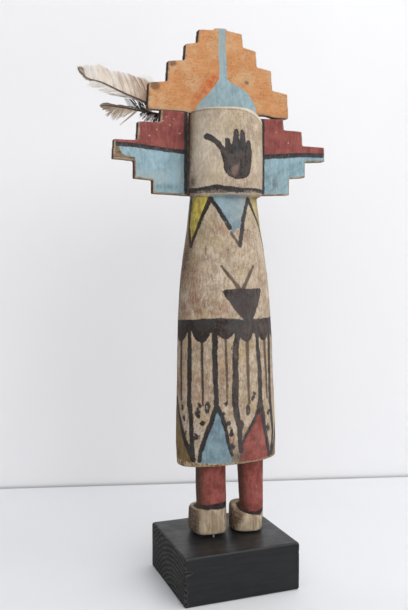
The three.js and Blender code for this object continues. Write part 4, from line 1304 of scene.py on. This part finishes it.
def boardFinish(name, upper):
    c = boardColours
    material, w, shader, vector = newFinish(name)
    turned = w.stretch(vector, turn=(0, math.pi / 2, 0))
    grain = useGroup(w, woodGrain, {"Vector": turned, "Fine Scale": 800.0, "Broad Scale": 190.0})
    spots = useGroup(w, mottle, {"Vector": turned, "Scale": 420.0})
    scratch = useGroup(w, scratched, {"Vector": vector})["Line"]
    edge, hollowDirtAndShade, facing = w.mark("edge"), w.mark("hollowDirtAndShade"), w.mark("facing")
    behind = w.step(facing, 0.5, -0.5, 0, 0.12)  # the back is more worn
    worn = useGroup(w, paintWear, {"Vector": vector, "Edge": edge, "Amount": w.sum("ADD", 0.41, behind),
                                   "Edge Wear": 0.5, "Chips": 0.1 if upper else 0.25})
    blue = painted(w, vector, "blue", 1.3)
    if upper:
        blueCoat = w.mix(w.mark("dulled"), bluePaint(w, vector, spots), c["blueDulled"])
        paint = w.mix(blue, orangePaint(w, vector, turned, spots), blueCoat)
    else:
        soilAndShadeSpread = w.step(w.noise(w.stretch(vector, 1, 1, 0.35), 340, 4, 0.65), 0.4, 0.6, 0.2, 1)
        paint = w.layers(
            w.mix(blue, redPaint(w, vector, spots), bluePaint(w, vector, spots)),
            (w.times(scratch, blue, 0.45), c["bluePale"]),
            (w.times(painted(w, vector, "ink", 1.4, 1.2), 0.96),
             coatOf(w, vector, c["ink"], c["inkThin"], 160.0, 0.42)),
            (w.times(w.mark("soilAndShade"), soilAndShadeSpread), c["soilAndShade"]),
        )
    # paint lies on the two faces; the sawn edges are bare, and their undersides are painted lighter, as painted
    # light from below
    flat = w.step(w.sum("ABSOLUTE", facing), 0.55, 0.8)
    left = w.times(flat, w.less(worn["Worn"], 0.8))
    bare = w.mix(grain["Streak"], c["bare"], c["bareDark"])
    side = w.mix(w.step(w.mark("under"), 0.4, 0.9, 0, 0.85), bare,
                 w.mix(spots["Fleck"], c["under"], c["bare"]))
    lower = w.step(w.add(w.mark("lowEdge"), w.times(w.noise(vector, 420, 4, 0.6), 0.2)), 0.16, 0.27, 0,
                   0.6 if upper else 0.9)
    # pale corners: paint worn through to the cream ground, and a painted highlight along the front corners
    paleEdge = w.step(w.add(edge, w.times(w.noise(vector, 320, 3), 0.3)), 0.48, 0.72, 0, 0.85)
    surface = w.layers(
        side,
        (flat, c["cream"]),
        (left, paint),
        (w.times(lower, w.step(facing, 0.3, 0.6)), w.mix(spots["Fleck"], c["rimPale"], c["rim"])),
        (w.times(paleEdge, w.step(facing, -0.2, 0.4, 0.5, 1)), w.mix(spots["Fleck"], c["cream"], c["bare"])),
    )
    withDirtAndShade = useGroup(w, grimeAndShade, {"Vector": vector, "Colour": surface, "Dirt And Shade": colour(c["film"]),
                                "Hollow Dirt And Shade": hollowDirtAndShade, "Amount": 0.55})
    relief = w.add(w.times(grain["Streak"], -0.15), w.times(w.noise(vector, 900, 4, 0.6), 0.8),
                   w.times(left, 0.3), w.times(scratch, -0.4))
    joinTo(w, shader, base=withDirtAndShade["Colour"], rough=w.step(worn["Scuff"], 0, 1, 0.84, 0.94),
           normal=bump(w, relief, 0.3))
    shader.inputs["Specular IOR Level"].default_value = 0.3
    return material


blockColours = {
    "stain": (28, 29, 31), "stainDark": (18, 18, 20), "endDark": (8, 8, 8), "endPale": (86, 84, 82),
    "paleEdge": (72, 70, 69), "nickShade": (10, 10, 10), "nickHighlight": (84, 82, 80), "dust": (92, 90, 88),
}


def blockFinish():
    c = blockColours
    material, w, shader, vector = newFinish("black_stained_wood")
    lying = w.stretch(vector, turn=(0, math.pi / 2, 0))
    grain = useGroup(w, woodGrain, {"Vector": lying, "Fine Scale": 1100.0, "Broad Scale": 300.0})
    bow = w.stretch(vector, 0.12, 1, 1, (0, 0.02, 0.035))  # the rings' middle lies outside the block
    rings = w.put("TexWave", {"Vector": bow, "Scale": 84.0, "Distortion": 3.2, "Detail": 4.0,
                              "Detail Scale": 1.6, "Detail Roughness": 0.65},
                  wave_type="RINGS", rings_direction="X").outputs["Fac"]
    fibres = w.noise(w.stretch(vector, 0.4, 1, 1), 900, 4, 0.7)
    endGrain, nicked = w.step(w.mark("endGrain"), 0.5, 0.9), w.mark("nicked")
    cut = w.add(w.times(rings, 0.2), w.times(fibres, 0.9))
    figuring = w.put("Mix", {0: endGrain, 2: grain["Streak"], 3: cut}, data_type="FLOAT").outputs[0]
    stain = w.mix(w.times(figuring, 0.7), c["stain"], c["stainDark"])
    endStain = w.mix(w.times(endGrain, 0.8), stain, c["endDark"])
    stain = w.layers(
        w.mix(w.times(endGrain, w.step(cut, 0.42, 0.72), 0.6), endStain, c["endPale"]),
        (w.step(w.add(w.mark("edge"), w.times(w.noise(vector, 260, 3), 0.2)), 0.3, 0.6, 0, 0.4), c["paleEdge"]),
        # painted shade inside the nicks, and a painted highlight round their rims
        (w.step(nicked, 0.15, 0.45, 0, 0.95), c["nickShade"]),
        (w.times(w.step(nicked, 0.04, 0.1), w.step(nicked, 0.2, 0.12), 0.4), c["nickHighlight"]),
        (drift(w, vector, 1300, 0.68, 0.76, 0.2, 2, 0.55), c["dust"]),
    )
    relief = w.add(w.times(figuring, -0.7), w.times(w.noise(vector, 1500, 3), 0.4))
    rough = w.add(w.step(w.noise(vector, 70, 4, 0.6), 0.3, 0.7, 0.36, 0.5), w.times(endGrain, 0.45))
    joinTo(w, shader, base=stain, rough=rough, normal=bump(w, relief, 0.2, 0.5))
    shader.inputs["Specular IOR Level"].default_value = 0.34
    return material


def steelFinish():
    material, w, shader, vector = newFinish("pin_steel")
    drawn = w.noise(w.stretch(vector, 1, 1, 0.05), 4000, 3)
    joinTo(w, shader, base=w.mix(drawn, (244, 244, 246), (222, 222, 226)),
           rough=w.step(drawn, 0.2, 0.8, 0.4, 0.55), normal=bump(w, drawn, 0.05, 0.4))
    shader.inputs["Metallic"].default_value = 1.0
    return material


plumeColours = {
    "large": {"pale": (242, 232, 220), "tan": (194, 164, 138), "brown": (132, 106, 88),
              "quill": (92, 72, 58)},
    "small": {"pale": (206, 190, 170), "tan": (160, 134, 110), "brown": (88, 70, 58), "quill": (66, 54, 46)},
    "down": {"pale": (226, 226, 228), "dark": (52, 50, 54)},
}


def plumeFinish(name):
    c, down = plumeColours[name], plumeColours["down"]
    material, w, shader, vector = newFinish(name + "_feather_vane")
    tone, brown, tip = w.mark("tone"), w.mark("brown"), w.mark("tip")
    ripple = w.sum("SUBTRACT", w.noise(w.stretch(vector, 1, 1, 0.6), 150, 3, 0.5), 0.5)
    barred = w.step(w.add(tone, w.times(w.sum("SINE", w.times(tip, 11.0)), 0.3)), 0.5, 0.62)
    surface = w.layers(
        w.mix(w.step(w.add(tone, w.times(ripple, 0.9)), 0.1, 1.0), c["pale"], c["tan"]),
        (w.times(brown, w.step(ripple, -0.3, 0.3, 1, 0.6)), c["brown"]),
        (w.mark("down"), w.mix(barred, down["pale"], down["dark"])),
        (w.mark("quill"), c["quill"]),
    )
    streak = w.noise(w.stretch(vector, 1, 1, 0.4), 1800, 3)
    joinTo(w, shader, base=surface, rough=w.step(streak, 0.2, 0.8, 0.55, 0.75),
           normal=bump(w, streak, 0.1, 0.4))
    shader.inputs["Sheen Weight"].default_value = 0.15
    return material


settle(doll, "carved_figure", dollFinish())
settle(upperBoard, "upper_board", boardFinish("orange_board_paint", True))
wingFinish = boardFinish("wing_board_paint", False)
for piece, node in wings:
    settle(piece, node, wingFinish)
settle(plinth, "display_block", blockFinish())
for name, plume in plumes.items():
    settle(plume, feathers[name]["node"], plumeFinish(name))
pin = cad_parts["mounting_pin"]
pin.data.materials.clear()
pin.data.materials.append(steelFinish())
print("finishes made")


# stage, lights and camera

stage = {
    "seam": ((-0.149, 0.309), (0.316, 0.186)),  # two points on the line where the floor ends
    "gap": 0.003, "size": 1.6, "wallHeight": 1.6, "wallFoot": -0.05, "drop": 0.0005,
    "floorColour": (232, 233, 236), "wallColour": (246, 246, 248), "seamColour": (236, 236, 240),
}


def sheetOf(name, corners, tone):
    # a plane laid between four corners, with a faintly mottled matt finish
    bpy.ops.object.select_all(action="DESELECT")
    bpy.ops.mesh.primitive_plane_add(size=1)
    piece = bpy.context.object
    piece.name = name
    for vertex, corner in zip(piece.data.vertices, corners):
        vertex.co = corner
    material, w, shader, vector = newFinish(name + "_matt")
    cloud = w.noise(vector, 6, 3)
    base = w.mix(cloud, tone, tuple(v - 5 for v in tone))
    if "backdrop" in name:  # a shadow line where it meets the table
        low = w.step(w.put("SeparateXYZ", {0: vector}).outputs["Z"], 0.0012, 0.0026, 1, 0)
        base = w.mix(low, base, stage["seamColour"])
    joinTo(w, shader, base=base, rough=w.step(cloud, 0.2, 0.8, 0.6, 0.75))
    piece.data.materials.append(material)
    return piece, material


(seamX, seamY), (farX, farY) = stage["seam"]
seamTurn = Vector((farX - seamX, farY - seamY)).normalized()
outward = Vector((-seamTurn.y, seamTurn.x))  # away from the camera
reach, gap, drop = stage["size"], stage["gap"], stage["drop"]
middle = Vector((seamX, seamY))


def stagePoint(side, back, up):
    spot = middle + seamTurn * side + outward * back
    return (spot.x, spot.y, up)


def stageSheet(name, near, far, tone):
    # near and far are (back, up) of the sheet's two long sides
    corners = [stagePoint(side, back, up) for back, up in (near, far) for side in (-reach, reach)]
    return sheetOf(name, corners, tone)


table, _ = stageSheet("studio_table", (-reach, 0), (0, 0), stage["floorColour"])
floorBehind, _ = stageSheet("studio_floor_behind", (gap, -drop), (reach, -drop), stage["floorColour"])
wall, wallFinish = stageSheet("studio_backdrop", (gap, stage["wallFoot"]), (gap, stage["wallHeight"]),
                              stage["wallColour"])
# the backdrop has one side only, so the doll can be seen from behind
tree = wallFinish.node_tree
backside = tree.nodes.new("ShaderNodeNewGeometry").outputs["Backfacing"]
clear, blend = tree.nodes.new("ShaderNodeBsdfTransparent"), tree.nodes.new("ShaderNodeMixShader")
tree.links.new(backside, blend.inputs[0])
tree.links.new(tree.nodes["Principled BSDF"].outputs[0], blend.inputs[1])
tree.links.new(clear.outputs[0], blend.inputs[2])
tree.links.new(blend.outputs[0], tree.nodes["Material Output"].inputs["Surface"])

lamps = {
    "key": {"place": (0.75, -1.25, 1.4), "aim": (0, 0, 0.25), "size": 1.7, "power": 14.2},
    "front": {"place": (-0.1, -1.7, 1.3), "aim": (0, 0, 0.25), "size": 1.6, "power": 16.2},
    "fill": {"place": (-0.9, -1.4, 0.8), "aim": (0, 0, 0.25), "size": 1.2, "power": 4.8},
    "backdrop": {"place": (0.6, -0.1, 1.7), "aim": (0.3, 0.5, 0.45), "size": 1.0, "power": 10.4},
    "backdropLeft": {"place": (-0.7, -0.2, 1.3), "aim": (-0.25, 0.4, 0.6), "size": 1.0, "power": 2.3,
                     "stageOnly": True},
    "behind": {"place": (0.6, 1.4, 1.0), "aim": (0, 0, 0.25), "size": 1.0, "power": 1.5, "dollOnly": True},
}
world = {"colour": (0.93, 0.95, 1.0, 1), "light": 0.015, "seen": 1.0}

dollOnly, stageOnly = bpy.data.collections.new("doll_lit"), bpy.data.collections.new("stage_lit")
for piece in (doll, upperBoard, plinth, pin, *plumes.values(), *[wing for wing, _ in wings]):
    dollOnly.objects.link(piece)
for piece in (wall, table, floorBehind):
    stageOnly.objects.link(piece)
for name, plan in lamps.items():
    data = bpy.data.lights.new(name + "_softbox", "AREA")
    data.energy, data.size = plan["power"], plan["size"]
    lamp = bpy.data.objects.new(data.name, data)
    lamp.location = plan["place"]
    lamp.rotation_euler = (Vector(plan["aim"]) - Vector(plan["place"])).to_track_quat("-Z", "Y").to_euler()
    bpy.context.scene.collection.objects.link(lamp)
    if plan.get("dollOnly"):
        lamp.light_linking.receiver_collection = dollOnly
        lamp.light_linking.blocker_collection = dollOnly
    elif plan.get("stageOnly"):
        lamp.light_linking.receiver_collection = stageOnly

# a dim sky for light, but a pale one where the camera looks past the stage
studio = bpy.data.worlds.new("studio")
studio.use_nodes = True
sky = Wiring(studio.node_tree)
background = studio.node_tree.nodes["Background"]
background.inputs["Color"].default_value = world["colour"]
seen = sky.put("LightPath").outputs["Is Camera Ray"]
studio.node_tree.links.new(sky.step(seen, 0, 1, world["light"], world["seen"]), background.inputs["Strength"])
bpy.context.scene.world = studio
bpy.context.scene.view_settings.view_transform = "Standard"

view = {"place": (-0.2232, -0.5512, 0.2573), "turn": -20.545, "tilt": -3.227, "lens": 43.67}
cameraData = bpy.data.cameras.new("camera")
cameraData.lens = view["lens"]
cameraData.clip_start = 0.01
camera = bpy.data.objects.new("camera", cameraData)
camera.location = view["place"]
camera.rotation_euler = (math.radians(90 + view["tilt"]), 0, math.radians(view["turn"]))
bpy.context.scene.collection.objects.link(camera)
bpy.context.scene.camera = camera
print("stage set")
